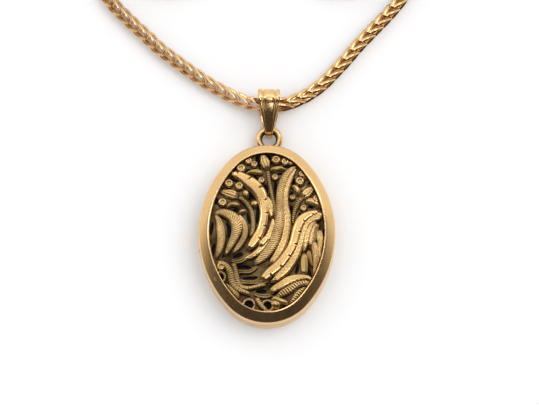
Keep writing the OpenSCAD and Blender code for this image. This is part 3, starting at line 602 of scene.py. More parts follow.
def boxAt(low, high):
    bm = bmesh.new()
    bmesh.ops.create_cube(bm, size=1)
    bmesh.ops.scale(bm, vec=Vector(high) - Vector(low), verts=bm.verts)
    bmesh.ops.translate(bm, vec=(Vector(low) + Vector(high)) / 2, verts=bm.verts)
    return bm


hinge = {"x": -13.1, "notchHalf": 4.4, "notchReach": 0.75, "nickR": 3, "nickDeep": 0.25, "nickHigh": 0.35}


def hingeNotch(bottom):
    return boxAt((hinge["x"] - 1, -hinge["notchHalf"], bottom),
                 (hinge["x"] + hinge["notchReach"], hinge["notchHalf"], bottom + hinge["notchReach"]))


def thumbNick(bottom):
    bm = bmesh.new()
    bmesh.ops.create_cone(bm, cap_ends=True, segments=96, radius1=hinge["nickR"], radius2=hinge["nickR"],
                          depth=hinge["nickHigh"])
    bmesh.ops.translate(bm, vec=(case["halfWide"] + hinge["nickR"] - hinge["nickDeep"], 0,
                                 bottom + hinge["nickHigh"] / 2), verts=bm.verts)
    return bm


rimBevel = [(0, 4.35), (0.07, 4.6), (0.25, 4.8), (0.9, 5.2), (1.5, 5.53), (1.85, 5.67), (2.05, case["top"]),
            (case["rimWide"], 5.6)]  # from the wall's top over to the opening


def makeFrontRim():
    seam, wide = case["seam"] + case["seamGap"], case["rimWide"]
    seat, wall = case["plateSeat"], case["wall"]
    bm = sweepOval([(0, seam)] + rimBevel + [(wide, seat), (wall, seat), (wall, seam)])
    piece = finishPiece("case_front_shell", bm, "polished_gold", "lid", ("front_rim",), case["sharp"])
    cutWith(piece, [hingeNotch(seam), thumbNick(seam)])


def makeBackCover():
    seam, wall, floorTop = case["seam"], case["wall"], case["floorTop"]
    flat, edge, ease = case["flatFrom"], case["backEdge"], case["backEase"]
    bm = sweepOval([(flat, 0), (edge, 0), (ease, ease), (0, edge), (0, seam), (wall, seam), (wall, floorTop),
                    (flat, floorTop)], False)
    fillLoops(bm)
    piece = finishPiece("case_back_shell", bm, "polished_gold", "case", ("back_cover",), case["sharp"])
    cutWith(piece, [hingeNotch(seam - hinge["notchReach"]), thumbNick(seam - hinge["nickHigh"])])


insides = {
    "fit": 0.01,  # between the bezel and the back cover
    "lip": 0.06,  # between the bezel and the front cover
    "ease": 0.1,  # slopes below and above the lip
    "high": 0.7,  # bezel above the seam
    "inset": 1.4,
    "cutLow": 1.68,  # cut in the bezel for the hinge
    "cutHigh": 2.92,
    "cutReach": 0.62,
    "frontFrame": [(0.85, 3.2), (2.6, 3.2), (2.6, 3.45), (2, 3.45), (2, 3.94), (0.85, 3.94)],
    "backFrame": [(1.45, 0.72), (2, 0.72), (2, 1.25), (2.6, 1.25), (2.6, 1.5), (1.45, 1.5)],
}


def makeInsides():
    wall, seam, inset, ease = case["wall"], case["seam"], insides["inset"], insides["ease"]
    near, lip = wall + insides["fit"], wall + insides["lip"]
    foot, top = case["floorTop"] + insides["fit"], seam + insides["high"]
    bezel = sweepOval([(near, foot), (near, seam - ease), (lip, seam), (lip, top - ease), (lip + ease, top),
                       (inset, top), (inset, foot)])
    piece = finishPiece("bezel_ring", bezel, "satin_gold", "case", ("inner_bezel",), case["sharp"])
    cutWith(piece, [boxAt((hinge["x"] - 1, -hinge["notchHalf"], insides["cutLow"]),
                          (hinge["x"] + insides["cutReach"], hinge["notchHalf"], insides["cutHigh"]))])
    for name, frameSection, body, node in (
            ("frame_in_front", insides["frontFrame"], "lid", "photo_frame_front"),
            ("frame_in_back", insides["backFrame"], "case", "photo_frame_back")):
        finishPiece(name, sweepOval(frameSection), "satin_gold", body, (node,), case["sharp"])


makeFrontRim()
makeBackCover()
makeInsides()
print("case made")


# Openwork: a pierced plate under chased plumes, buds, leaves, stems, straps and berries

relief = {
    "shiftY": -0.35,
    "plateLow": 4.3,
    "plateTop": 4.72,
    "foot": 4.6,
    "rimRun": 0.3,  # how soon the relief drops beside the rim
    "plateInset": 1.05,
    "plateEdge": 0.03,  # rounding of the plate's openings
    # the pierced plate is painted near-black: patina with painted shade between the relief
    "plateDark": 0.8,
}
plumes = {
    "smooth": [
        [(-7.2, 12.3, 0.15), (-6.2, 12.15, 0.5), (-5, 11.6, 0.75), (-3.6, 10.6, 0.95), (-2.3, 9.5, 1.0),
         (-1.3, 8, 0.95), (-0.7, 6, 0.75), (-0.55, 4, 0.65), (-0.75, 2.3, 0.65), (-1.2, 0.6, 0.65),
         (-1.95, -0.9, 0.7), (-2.9, -2.3, 0.6), (-3.8, -3.4, 0.25)],
        [(10.3, 4.3, 0.3), (9.2, 4.1, 0.45), (7.9, 3.6, 0.6), (6.9, 2.7, 0.75), (6.25, 1.5, 0.75),
         (5.8, 0, 0.75), (5.4, -1.5, 0.7), (4.9, -2.9, 0.7), (4.1, -4.3, 0.7), (3.1, -5.7, 0.75),
         (2, -6.9, 0.75),
         (0.8, -7.9, 0.75), (-0.3, -8.9, 0.6), (-1, -9.7, 0.25)]],
    "plain": [
        [(-0.2, 7.8, 0.25), (0.4, 6.4, 0.5), (0.75, 5, 0.5), (0.8, 3.8, 0.4), (0.7, 2.9, 0.15)],
        [(5.8, 13.6, 0.1), (5.1, 12.4, 0.35), (4.5, 11, 0.45), (4, 9.3, 0.45), (3.7, 7.5, 0.45),
         (3.75, 5.5, 0.5), (3.95, 3.8, 0.6), (4, 2, 0.6), (3.8, 0.3, 0.65), (3.5, -1.2, 0.65),
         (2.9, -2.8, 0.7), (2.1, -4.3, 0.65), (1.2, -5.6, 0.5), (0.4, -6.5, 0.2)],
        [(11.1, 3.2, 0.3), (10.4, 3.5, 0.7), (9.2, 3.1, 0.7), (8.1, 2.2, 0.55), (7.5, 0.9, 0.5),
         (7.1, -0.5, 0.5), (6.7, -2, 0.55), (6.1, -3.6, 0.6), (5.5, -4.9, 0.65), (4.7, -6.2, 0.7),
         (3.8, -7.4, 0.75),
         (2.8, -8.4, 0.65), (1.8, -9.3, 0.5), (0.7, -10, 0.2)],
        [(0.5, -12.2, 0.3), (1.5, -11.3, 0.55), (2.9, -10.5, 0.7), (4.2, -9.7, 0.75), (5.6, -9.2, 0.65),
         (7, -9, 0.5), (8.1, -9.1, 0.35), (8.9, -9.8, 0.3), (9.1, -10.5, 0.15)],
        [(1.2, 3.2, 0.15), (1.1, 1.8, 0.4), (0.75, 0.4, 0.5), (0.1, -1.2, 0.6), (-0.8, -2.7, 0.6),
         (-1.9, -3.9, 0.5), (-3.2, -4.8, 0.4), (-4.6, -5.3, 0.15)],
        [(9.9, 2.9, 0.1), (9, 2, 0.4), (8.3, 0.6, 0.5), (7.9, -1, 0.5), (7.5, -2.6, 0.4), (7.1, -4, 0.15)]],
    "hatched": [
        [(5.9, 13.8, 0.15), (4.9, 13.2, 0.4), (3.9, 12.1, 0.5), (3.3, 10.8, 0.6), (2.85, 9.2, 0.65),
         (2.65, 7.5, 0.65), (2.6, 5.5, 0.65), (2.6, 3.8, 0.65), (2.4, 2, 0.7), (2, 0.2, 0.75),
         (1.4, -1.6, 0.75), (0.6, -3.2, 0.7), (-0.6, -4.7, 0.65), (-1.8, -5.8, 0.45), (-2.5, -6.4, 0.2)],
        [(-10.5, 3.9, 0.15), (-9.4, 4.2, 0.45), (-8, 4, 0.7), (-6.7, 3.2, 0.82), (-6, 1.9, 0.86),
         (-6, 0.4, 0.76), (-6.5, -1, 0.6), (-7.1, -2.3, 0.5), (-7.7, -3.5, 0.35), (-8.2, -4.5, 0.15)],
        [(-5.7, 3.9, 0.2), (-4.8, 2.6, 0.36), (-4.3, 1.1, 0.44), (-4.4, -0.5, 0.46), (-5, -1.9, 0.42),
         (-5.9, -3.1, 0.34), (-6.8, -4.1, 0.15)],
        [(-10.3, 3.9, 0.1), (-9.7, 3, 0.4), (-9.3, 1.8, 0.58), (-9.1, 0.5, 0.66), (-9, -1, 0.64),
         (-9.15, -2.4, 0.58), (-9.5, -3.8, 0.45), (-10, -5.1, 0.15)]],
    "ribbed": [
        [(1.9, -12.9, 0.25), (3, -12.2, 0.55), (4.3, -11.5, 0.6), (5.5, -10.7, 0.5), (6.7, -10.2, 0.45),
         (7.8, -10.2, 0.45), (8.5, -10.8, 0.35), (8.4, -11.5, 0.15)],
        [(8.1, -11.1, 0.15), (7.3, -11.5, 0.45), (6.5, -12.2, 0.6), (5.8, -13, 0.6), (5.2, -13.9, 0.5),
         (4.6, -14.9, 0.25)]],
    "lens": [
        [(0.4, -0.4, 0.2), (0, -1, 0.5), (-0.55, -1.7, 0.6), (-1.1, -2.4, 0.5), (-1.7, -3, 0.2)]],
}
sprays = {
    "buds": [
        [(-1.15, 16.7, 0.1), (-0.75, 15.8, 0.5), (-0.4, 14.8, 0.75), (-0.15, 13.9, 0.6), (0.05, 13.2, 0.25)],
        [(-9.5, 8.75, 0.1), (-8.6, 8.5, 0.4), (-7.5, 8.25, 0.7), (-6.5, 7.95, 0.7), (-5.7, 7.65, 0.35)],
        [(9.3, 9.8, 0.1), (8.7, 9.1, 0.5), (8.1, 8.5, 0.7), (7.5, 7.95, 0.65), (6.9, 7.4, 0.3)]],
    "stems": [
        [(0.15, 13.1, 0.25), (0.35, 11.5, 0.25), (0.6, 10, 0.25), (0.85, 8.6, 0.25), (1.1, 7.2, 0.25),
         (1.5, 5.6, 0.22), (1.7, 4, 0.2), (1.6, 2.8, 0.15)],
        [(-5.5, 7.6, 0.3), (-4.5, 6.7, 0.3), (-3.6, 5.6, 0.3), (-3, 4.4, 0.3), (-2.75, 3, 0.3),
         (-2.7, 1.6, 0.3), (-2.85, 0.4, 0.3), (-3.3, -0.7, 0.25)],
        [(6.9, 7.4, 0.3), (6.2, 6.4, 0.3), (5.75, 5.4, 0.3), (5.4, 4.4, 0.25), (5.2, 3.2, 0.2),
         (5.05, 2, 0.15)]],
    "leaves": [
        [(-4.3, 12.3, 0.1), (-3.2, 12.75, 0.3), (-1.9, 12.75, 0.4), (-0.8, 12.4, 0.2)],
        [(0.5, 13.1, 0.2), (1.6, 13.4, 0.35), (2.8, 13.5, 0.3), (4, 13.1, 0.1)],
        [(4.7, 9.8, 0.15), (5.6, 9.5, 0.35), (6, 8.7, 0.35), (6, 7.8, 0.15)],
        [(-8, 5.2, 0.15), (-7.2, 5.9, 0.3), (-6.2, 6, 0.35), (-5.3, 5.6, 0.2)],
        [(-4.4, 9.3, 0.15), (-4.2, 8.3, 0.4), (-3.9, 7.2, 0.2)],
        [(-5, 5.2, 0.15), (-4.8, 4.6, 0.5), (-4.5, 3.9, 0.2)],
        [(-2.9, 7, 0.2), (-2.5, 6.2, 0.45), (-2.2, 5.2, 0.2)],
        [(8.3, 9.9, 0.1), (7.4, 9.3, 0.25), (6.9, 8.7, 0.15)],
        [(7.5, 6.7, 0.2), (8.7, 6.6, 0.5), (9.8, 6, 0.35), (10, 5.2, 0.15)],
        [(1.2, -13.4, 0.3), (1.7, -14.3, 0.6), (1.7, -15.4, 0.35)],
        [(0.9, -12.9, 0.3), (2, -13.5, 0.4), (3.2, -13.9, 0.35), (4.2, -14.3, 0.2)]],
    "hanging": [
        [(7.3, -3.9, 0.2), (7.3, -5.2, 0.5), (7.3, -6.6, 0.55), (7.3, -7.9, 0.45), (7.2, -8.6, 0.2)],
        [(9, -1.5, 0.35), (9.4, -3.2, 0.5), (9.6, -5, 0.45), (9.6, -6.8, 0.4), (9.5, -8.3, 0.4),
         (9.6, -9.5, 0.2)],
        [(10.2, 2.1, 0.3), (9.4, 1.2, 0.6), (9, -0.2, 0.65), (8.8, -1.6, 0.55), (8.5, -3, 0.25)],
        [(10.3, 0.9, 0.3), (10.4, -0.8, 0.5), (10.6, -2.4, 0.5), (10.6, -4, 0.5), (10.6, -5.4, 0.35),
         (10.9, -6.3, 0.15)],
        [(8.2, -3.3, 0.25), (8.3, -4.6, 0.35), (8.6, -5.8, 0.25), (8.9, -6.9, 0.15)]],
    "bands": [
        [(-9.8, -5.9, 0.2), (-8.6, -6.2, 0.35), (-7.6, -7.1, 0.45), (-7.1, -8.3, 0.5), (-6.9, -9.4, 0.5),
         (-6.4, -10.6, 0.5), (-5.5, -11.5, 0.45), (-4.3, -12, 0.35), (-3.2, -12.4, 0.25)],
        [(-8.4, -10.3, 0.25), (-7.7, -11, 0.45), (-6.8, -11.9, 0.5), (-6, -12.6, 0.5), (-5.3, -13, 0.25)],
        [(-6.6, -6, 0.35), (-6.2, -7.5, 0.35), (-5.9, -9, 0.4), (-5.4, -10.6, 0.35), (-4, -11.2, 0.35),
         (-2.6, -11, 0.3), (-1, -10.6, 0.3), (-0.2, -10.4, 0.2)],
        [(-2, -13, 0.3), (-1.6, -14, 0.35), (-0.8, -15, 0.3), (0.1, -15.8, 0.2)]],
    "straps": [
        [(-7, -5.5, 0.2), (-5.8, -5.8, 0.3), (-4.6, -5.4, 0.3), (-3.9, -4.6, 0.3), (-3.4, -3.9, 0.2)],
        [(-6.5, -7.9, 0.35), (-5, -7.8, 0.3), (-3.5, -7.8, 0.3), (-2.6, -7.3, 0.3), (-1.9, -6.7, 0.2)],
        [(-5.9, -9.7, 0.4), (-4, -10, 0.3), (-2, -10, 0.3), (-0.4, -9.9, 0.3), (0.3, -9.6, 0.15)],
        [(-2.6, -12.2, 0.2), (-1.4, -12.7, 0.3), (0, -12.8, 0.3), (0.9, -12.4, 0.25)]],
}
berries = [
    (-5.15, 13.5, 0.8), (-3.7, 15.1, 0.65), (-2.55, 14.35, 0.62), (1.8, 15.3, 0.8), (3.6, 14.9, 0.7),
    (4.7, 14.6, 0.45), (-7.55, 10.35, 0.8), (-5.5, 9.8, 0.75), (6.9, 12.3, 0.6), (7.7, 11.7, 0.5),
    (6.5, 10.8, 0.8), (-8.8, 6.4, 0.8), (9.8, 7.2, 0.7), (-1.1, 11, 0.6), (1.6, 11.6, 0.6),
    (5.05, 7.4, 0.55), (7.2, 5.2, 0.6), (-9, -6.8, 0.75)]
scrollEyes = [(-3.5, -14.5, 1.35, 0.85), (0.1, -14.7, 1.3, 0.8), (-9.15, -8.9, 1.25, 0.75)]
openings = [
    [(-1.95, 16.3, 0.3), (-1.85, 15.2, 0.5), (-1.5, 13.9, 0.25), (-1.2, 13.3, 0.15)],
    [(-0.1, 16.4, 0.2), (0.4, 16, 0.4), (0.75, 15.3, 0.35), (0.9, 14.4, 0.25)],
    [(-6.8, 13.1, 0.25), (-6.3, 13.8, 0.3), (-5.9, 14.2, 0.15)],
    [(-4.6, 12.8, 0.15), (-3.9, 13.2, 0.3), (-3.1, 13.45, 0.2)],
    [(-2.6, 12.1, 0.1), (-2.2, 11.7, 0.3), (-1.8, 11.2, 0.3), (-1.7, 10.8, 0.1)],
    [(-0.7, 10.4, 0.15), (-0.3, 9.8, 0.4), (0, 9, 0.3), (0.15, 8.5, 0.15)],
    [(1.7, 10.8, 0.3), (1.65, 9.5, 0.4), (1.7, 8.5, 0.3), (1.75, 7.8, 0.15)],
    [(2, 12.4, 0.15), (2.6, 12.5, 0.3), (3.1, 12.7, 0.2)],
    [(3.2, 14, 0.1), (4, 13.9, 0.2), (4.8, 13.9, 0.1)],
    [(5.3, 11.7, 0.15), (5.3, 10.9, 0.3), (5.15, 10.2, 0.2)],
    [(8, 10.4, 0.15), (8.6, 10.5, 0.3), (9, 10.8, 0.15)],
    [(4.9, 8.9, 0.25), (4.85, 8.2, 0.4), (4.6, 7.6, 0.15)],
    [(9.6, 8.4, 0.2), (10.1, 8.3, 0.3), (10.4, 8, 0.2)],
    [(4.75, 6, 0.15), (4.85, 5, 0.35), (4.85, 4, 0.2)],
    [(7.9, 5.4, 0.15), (8.6, 5.6, 0.3), (9.2, 5.3, 0.15)],
    [(10.5, 5.4, 0.25), (10.9, 5, 0.4), (11.2, 4.5, 0.2)],
    [(6.5, 4.5, 0.15), (6.45, 3.95, 0.3), (6.2, 3.4, 0.15)],
    [(-7.3, 11.6, 0.2), (-6.5, 11.1, 0.2), (-5.9, 10.8, 0.15)],
    [(-9.1, 9.5, 0.2), (-8.5, 9.5, 0.2)],
    [(-10.1, 7.6, 0.2), (-9.95, 6.9, 0.4), (-10.2, 6.1, 0.25)],
    [(-3.4, 8.6, 0.2), (-3.1, 7.9, 0.5), (-3.6, 6.9, 0.25)],
    [(-1.8, 6.2, 0.15), (-1.75, 4.9, 0.4), (-1.8, 3.4, 0.45), (-2, 2.1, 0.25)],
    [(-3.9, 4.4, 0.15), (-3.7, 3.3, 0.4), (-3.4, 2.1, 0.25)],
    [(-6.8, 4.9, 0.15), (-6.1, 4.9, 0.35), (-5.7, 4.5, 0.2)],
    [(-8.1, 2.4, 0.15), (-7.6, 1.5, 0.4), (-7.4, 0.6, 0.5), (-7.5, -0.3, 0.35), (-7.8, -0.9, 0.15)],
    [(-8, -2.3, 0.2), (-7.9, -3, 0.35), (-8.2, -3.9, 0.4), (-8.8, -4.8, 0.2)],
    [(-10.7, 2.6, 0.15), (-10.8, 1.5, 0.4), (-11, 0.4, 0.3), (-11, -0.3, 0.15)],
    [(-10.3, -1.9, 0.15), (-10.5, -2.8, 0.4), (-10.55, -3.8, 0.3), (-10.5, -4.6, 0.15)],
    [(-6.7, -4.9, 0.2), (-6, -4.5, 0.5), (-5.3, -4.2, 0.5), (-4.7, -4, 0.3)],
    [(-5.6, -6.9, 0.15), (-4.7, -6.8, 0.4), (-3.6, -6.9, 0.35), (-3, -6.9, 0.15)],
    [(-4.8, -9.1, 0.2), (-3.8, -9, 0.35), (-2.6, -9, 0.35), (-1.8, -8.8, 0.2)],
    [(-2.2, -11.8, 0.2), (-1.4, -11.7, 0.45), (-0.5, -11.7, 0.45), (0, -11.8, 0.2)],
    [(3.5, -14.5, 0.15), (3.2, -15, 0.3), (2.8, -15.4, 0.25)],
    [(6.1, -6.2, 0.15), (6, -6.9, 0.35), (5.8, -7.7, 0.35), (5.5, -8.1, 0.15)],
    [(8.2, -7, 0.15), (8.2, -7.7, 0.35), (8.5, -8.5, 0.3), (8.8, -9.2, 0.15)],
    [(10.3, -6.5, 0.2), (10.4, -7.1, 0.4), (10.4, -7.9, 0.3), (10.3, -8.4, 0.1)],
    [(11.2, 1.2, 0.15), (11.3, 0.4, 0.35), (11.4, -0.6, 0.3), (11.4, -1.3, 0.15)],
    [(11.3, -3.5, 0.15), (11.3, -4.3, 0.25), (11.2, -5, 0.15)],
    [(8.4, -12, 0.1), (7.4, -13, 0.2), (6.2, -14, 0.2), (5.5, -14.6, 0.1)],
    [(-3.2, -3.9, 0.1), (-2.6, -4, 0.25), (-1.9, -3.9, 0.15)]]

# How each kind of stroke is chased: edge and crown heights, its cuts, and its base darkness (patina with
# painted shade)
strokeLooks = {
    "smooth": {"edge": 5.2, "crown": 0.6, "step": 0.1, "columns": 20, "widen": 1.42, "dark": 0.02,
               "nicks": (2.6, 0.22)},
    "plain": {"edge": 5.05, "crown": 0.6, "step": 0.1, "columns": 16, "widen": 1.32, "dark": 0.14,
              "hatch": (0.9, 1.2, 0.03)},
    "hatched": {"edge": 5.12, "crown": 0.6, "step": 0.07, "columns": 20, "widen": 1.45, "dark": 0.08,
                "hatch": (0.46, 1.3, 0.1)},
    "ribbed": {"edge": 5.05, "crown": 0.56, "step": 0.08, "columns": 14, "widen": 1.38, "dark": 0.05,
               "hatch": (0.52, 0.25, 0.13)},
    "lens": {"edge": 5.15, "crown": 0.75, "step": 0.1, "columns": 14, "widen": 1.2, "dark": -0.4},
    "buds": {"edge": 4.98, "crown": 0.58, "step": 0.1, "columns": 18, "widen": 1.4, "dark": 0.12,
             "petals": 0.1},
    "stems": {"edge": 4.98, "crown": 0.42, "step": 0.07, "columns": 12, "widen": 1.75, "dark": 0.2,
              "beads": (0.42, 0.14, 1)},
    "leaves": {"edge": 4.95, "crown": 0.5, "step": 0.1, "columns": 14, "widen": 1.65, "dark": 0.16,
               "midrib": 0.1},
    "hanging": {"edge": 5.02, "crown": 0.5, "step": 0.1, "columns": 14, "widen": 1.5, "dark": 0.16,
                "midrib": 0.12},
    "bands": {"edge": 5.02, "crown": 0.5, "step": 0.07, "columns": 16, "widen": 1.65, "dark": 0.15,
              "beads": (0.45, 0.12, 1)},
    "straps": {"edge": 4.95, "crown": 0.36, "step": 0.06, "columns": 14, "widen": 1.6, "dark": 0.25,
               "beads": (0.32, 0.13, 2)},
}
flatness = 4.5  # how flat the top of a stroke is


def finishRelief(name, bm, sharpAngle=60):
    finishPiece(name, bm, "chased_gold", "lid", ("openwork_panel",), sharpAngle)


def insideOutline(x, y):  # distance inside the case's outline
    x, y = abs(x), abs(y)
    if math.atan2(y, x + case["sideDx"]) <= case["jointAngle"]:
        return case["sideR"] - math.hypot(x + case["sideDx"], y)
    return case["endR"] - math.hypot(x, y - case["endDy"])


def besideRim(x, y, z):  # lets the relief down where it meets the rim
    share = min(max((insideOutline(x, y) - case["rimWide"]) / relief["rimRun"], 0), 1)
    return relief["plateTop"] + (z - relief["plateTop"]) * math.sin(share * math.pi / 2)


def chasedHeight(look, distance, total, v, half):  # height and darkness across a stroke; the darkness is patina with painted shade at the edges, in grooves, dents and between beads
    ends = math.sin(min(1, min(distance, total - distance) / (0.9 * half + 0.2)) * math.pi / 2)
    rise = look["crown"] * min(1, 0.35 + half)
    z = look["edge"] + rise * ends * max(0, 1 - abs(v) ** flatness) ** 0.55
    dark = look["dark"] + 0.7 * abs(v) ** 14
    keep = 1 - v ** 4
    if "hatch" in look:
        pitch, slant, deep = look["hatch"]
        groove = (0.5 + 0.5 * math.cos(fullTurn * (distance / pitch + slant * v))) ** 1.5
        z -= deep * groove * keep
        dark += 4.5 * deep * groove
    if "nicks" in look:
        pitch, deep = look["nicks"]
        near = (distance / pitch) % 1 - 0.5
        dent = math.exp(-(near / 0.045) ** 2) * min(max((v - 0.05) / 0.5, 0), 1)
        z -= deep * dent
        dark += 0.8 * dent
    if "beads" in look:
        pitch, deep, rows = look["beads"]
        along = abs(math.sin(math.pi * distance / pitch)) ** 0.7
        grain = along * abs(math.cos(rows * math.pi * v / 2 + (rows - 1) * math.pi / 2))
        z += deep * grain
        dark += 0.55 * (1 - grain)
    if "midrib" in look:
        z += look["midrib"] * math.exp(-(v / 0.2) ** 2) * ends
        dark += 0.4 * math.exp(-((abs(v) - 0.35) / 0.14) ** 2)
    if "petals" in look:
        z -= look["petals"] * (0.5 - 0.5 * math.cos(3 * math.pi * v)) * keep
        dark += 0.5 * math.exp(-((abs(v) - 0.33) / 0.1) ** 2)
    return z, min(max(dark, 0), 1)


def addStroke(bm, patinaAndShade, stroke, look):
    total, placeAt = trackAlong(smoothPath(stroke, 8))
    rows = math.ceil(total / look["step"])
    top = bmesh.ops.create_grid(bm, x_segments=rows, y_segments=look["columns"], size=0.5)["verts"]
    for vert in top:
        distance = (vert.co.x + 0.5) * total
        v = math.sin(vert.co.y * math.pi)
        x, y, half = placeAt(distance)
        half *= look["widen"]
        way = (placeAt(min(distance + 0.1, total)) - placeAt(max(distance - 0.1, 0))).xy.normalized()
        z, vert[patinaAndShade] = chasedHeight(look, distance, total, v, half)
        x, y = x - way.y * half * v, y + way.x * half * v + relief["shiftY"]
        vert.co = (x, y, besideRim(x, y, z))
    rims = {e for vert in top for e in vert.link_edges if e.is_boundary}
    walls = bmesh.ops.extrude_edge_only(bm, edges=list(rims))["geom"]
    feet = [g for g in walls if isinstance(g, bmesh.types.BMVert)]
    for vert in feet:
        vert.co.z = relief["foot"]
        # the foot walls get full darkness: painted shade under the stroke's edge, with patina
        vert[patinaAndShade] = 1
    loop = [g for g in walls if isinstance(g, bmesh.types.BMEdge) and g.is_boundary]
    bmesh.ops.contextual_create(bm, geom=loop)


def makeStrokes(name, kinds, source):
    bm = bmesh.new()
    patinaAndShade = bm.verts.layers.float.new("patinaAndShade")
    for kind in kinds:
        for stroke in source[kind]:
            addStroke(bm, patinaAndShade, stroke, strokeLooks[kind])
    bmesh.ops.recalc_face_normals(bm, faces=bm.faces)
    finishRelief(name, bm)


berryGrow = 1.3
berryProfile = [  # share of the radius, height, darkness (patina with painted shade in the dimple and down the foot)
    (0, 5.46, 0.2), (0.2, 5.42, 0.4), (0.3, 5.42, 0.6), (0.42, 5.5, 0.25), (0.55, 5.56, 0.12),
    (0.7, 5.5, 0.15), (0.84, 5.34, 0.3), (0.95, 5.1, 0.5), (1, 4.9, 0.9), (1, 4.6, 1)]


def makeBerries():
    bm = bmesh.new()
    patinaAndShade = bm.verts.layers.float.new("patinaAndShade")
    for x, y, small in berries:
        radius = small * berryGrow
        profile = [(x + share * radius, y + relief["shiftY"], z) for share, z, dark in berryProfile]
        geom = addWire(bm, profile, False)
        for vert, (share, z, dark) in zip(geom, berryProfile):
            vert[patinaAndShade] = dark
        turnRound(bm, geom, (x, y + relief["shiftY"], 0), 22)
    bmesh.ops.remove_doubles(bm, verts=bm.verts, dist=0.001)
    fillLoops(bm)
    for vert in bm.verts:
        if vert.co.z > relief["foot"] + 0.01:
            vert.co.z = besideRim(vert.co.x, vert.co.y, vert.co.z)
    finishRelief("openwork_berries", bm)


scrolls = {"middle": 5, "crown": 0.25, "grainsFrom": 4.9, "grainHigh": 0.1, "grains": 10, "dark": 0.5}


def makeScrolls():
    bm = bmesh.new()
    patinaAndShade = bm.verts.layers.float.new("patinaAndShade")
    for x, y, outer, inner in scrollEyes:
        middle, half = (outer + inner) / 2, (outer - inner) / 2
        profile = [(middle - half, relief["foot"])]
        for k in range(-4, 5):
            turn = math.pi * k / 8
            height = scrolls["middle"] + scrolls["crown"] * math.cos(turn)
            profile.append((middle + half * math.sin(turn), height))
        profile.append((middle + half, relief["foot"]))
        geom = addWire(bm, [(x + r, y + relief["shiftY"], z) for r, z in profile], True)
        turnRound(bm, geom, (x, y + relief["shiftY"], 0), 96)
        for vert in bm.verts:
            dx, dy = vert.co.x - x, vert.co.y - y - relief["shiftY"]
            if math.hypot(dx, dy) >= outer + 0.01:
                continue
            # darkness between the grains and full darkness down the sides: patina with painted shade
            if vert.co.z > scrolls["grainsFrom"]:
                grain = abs(math.sin(math.atan2(dy, dx) * scrolls["grains"]))
                vert.co.z += scrolls["grainHigh"] * grain
                vert[patinaAndShade] = scrolls["dark"] * (1 - grain)
            else:
                vert[patinaAndShade] = 1
    bmesh.ops.recalc_face_normals(bm, faces=bm.faces)
    finishRelief("openwork_scrolls", bm)


def strokeOutline(stroke):
    total, placeAt = trackAlong(smoothPath(stroke, 6))
    marks = [total * i / 16 for i in range(17)]
    left, right = [], []
    for distance in marks:
        x, y, half = placeAt(distance)
        way = (placeAt(min(distance + 0.1, total)) - placeAt(max(distance - 0.1, 0))).xy.normalized()
        left.append((x - way.y * half, y + way.x * half + relief["shiftY"]))
        right.append((x + way.y * half, y - way.x * half + relief["shiftY"]))
    return left + right[::-1]


def ovalOutline(inset):
    loop = []
    arcs = ((-case["sideDx"], 0, case["sideR"], 0), (0, case["endDy"], case["endR"], 1),
            (case["sideDx"], 0, case["sideR"], 2), (0, -case["endDy"], case["endR"], 3))
    for cx, cy, radius, quarter in arcs:
        half = case["jointAngle"] if quarter % 2 == 0 else math.pi / 2 - case["jointAngle"]
        for i in range(24):
            angle = quarter * math.pi / 2 - half + 2 * half * i / 24
            loop.append((cx + (radius - inset) * math.cos(angle), cy + (radius - inset) * math.sin(angle)))
    return loop


def makePiercedPlate():
    flat = bpy.data.curves.new("piercedPlate", "CURVE")
    flat.dimensions = "2D"
    flat.fill_mode = "BOTH"
    flat.bevel_depth = relief["plateEdge"] * mm
    flat.extrude = (relief["plateTop"] - relief["plateLow"]) / 2 * mm - flat.bevel_depth
    flat.bevel_resolution = 1
    circles = [[(x + r * math.cos(fullTurn * k / 40), y + relief["shiftY"] + r * math.sin(fullTurn * k / 40))
                for k in range(40)] for x, y, outer, r in scrollEyes]
    for outline in [ovalOutline(relief["plateInset"])] + [strokeOutline(hole) for hole in openings] + circles:
        spline = flat.splines.new("POLY")
        spline.points.add(len(outline) - 1)
        spline.use_cyclic_u = True
        for point, (x, y) in zip(spline.points, outline):
            point.co = (x * mm, y * mm, 0, 1)
    holder = bpy.data.objects.new("piercedPlate", flat)
    bpy.context.collection.objects.link(holder)
    mesh = bpy.data.meshes.new_from_object(holder.evaluated_get(bpy.context.evaluated_depsgraph_get()))
    bpy.data.objects.remove(holder)
    bm = bmesh.new()
    bm.from_mesh(mesh)
    bmesh.ops.scale(bm, vec=(1 / mm, 1 / mm, 1 / mm), verts=bm.verts)
    bmesh.ops.translate(bm, vec=(0, 0, (relief["plateTop"] + relief["plateLow"]) / 2), verts=bm.verts)
    closeUp(bm, 0.0005)
    patinaAndShade = bm.verts.layers.float.new("patinaAndShade")
    for vert in bm.verts:
        vert[patinaAndShade] = relief["plateDark"]
    finishRelief("openwork_plate", bm, 40)


makePiercedPlate()
makeStrokes("openwork_plumes", ("smooth", "plain", "lens"), plumes)
makeStrokes("openwork_feathers", ("hatched", "ribbed"), plumes)
makeStrokes("openwork_sprays", ("buds", "stems", "leaves", "hanging"), sprays)
makeStrokes("openwork_bands", ("bands", "straps"), sprays)
makeBerries()
makeScrolls()
print("openwork made")


# Ring and bail

jointAt = {joint["name"]: Vector(joint["pos_m"]) / mm for joint in frame["record"]["behaviour"]["joints"]}
bail = {
    "eye": jointAt["bail_swing"],
    "toe": jointAt["case_swing"],
    "thick": 0.45,
    "toeHalf": 0.7,
    "bulge": 0.36,  # how far the front leaf is crowned
    "rows": 88,
}
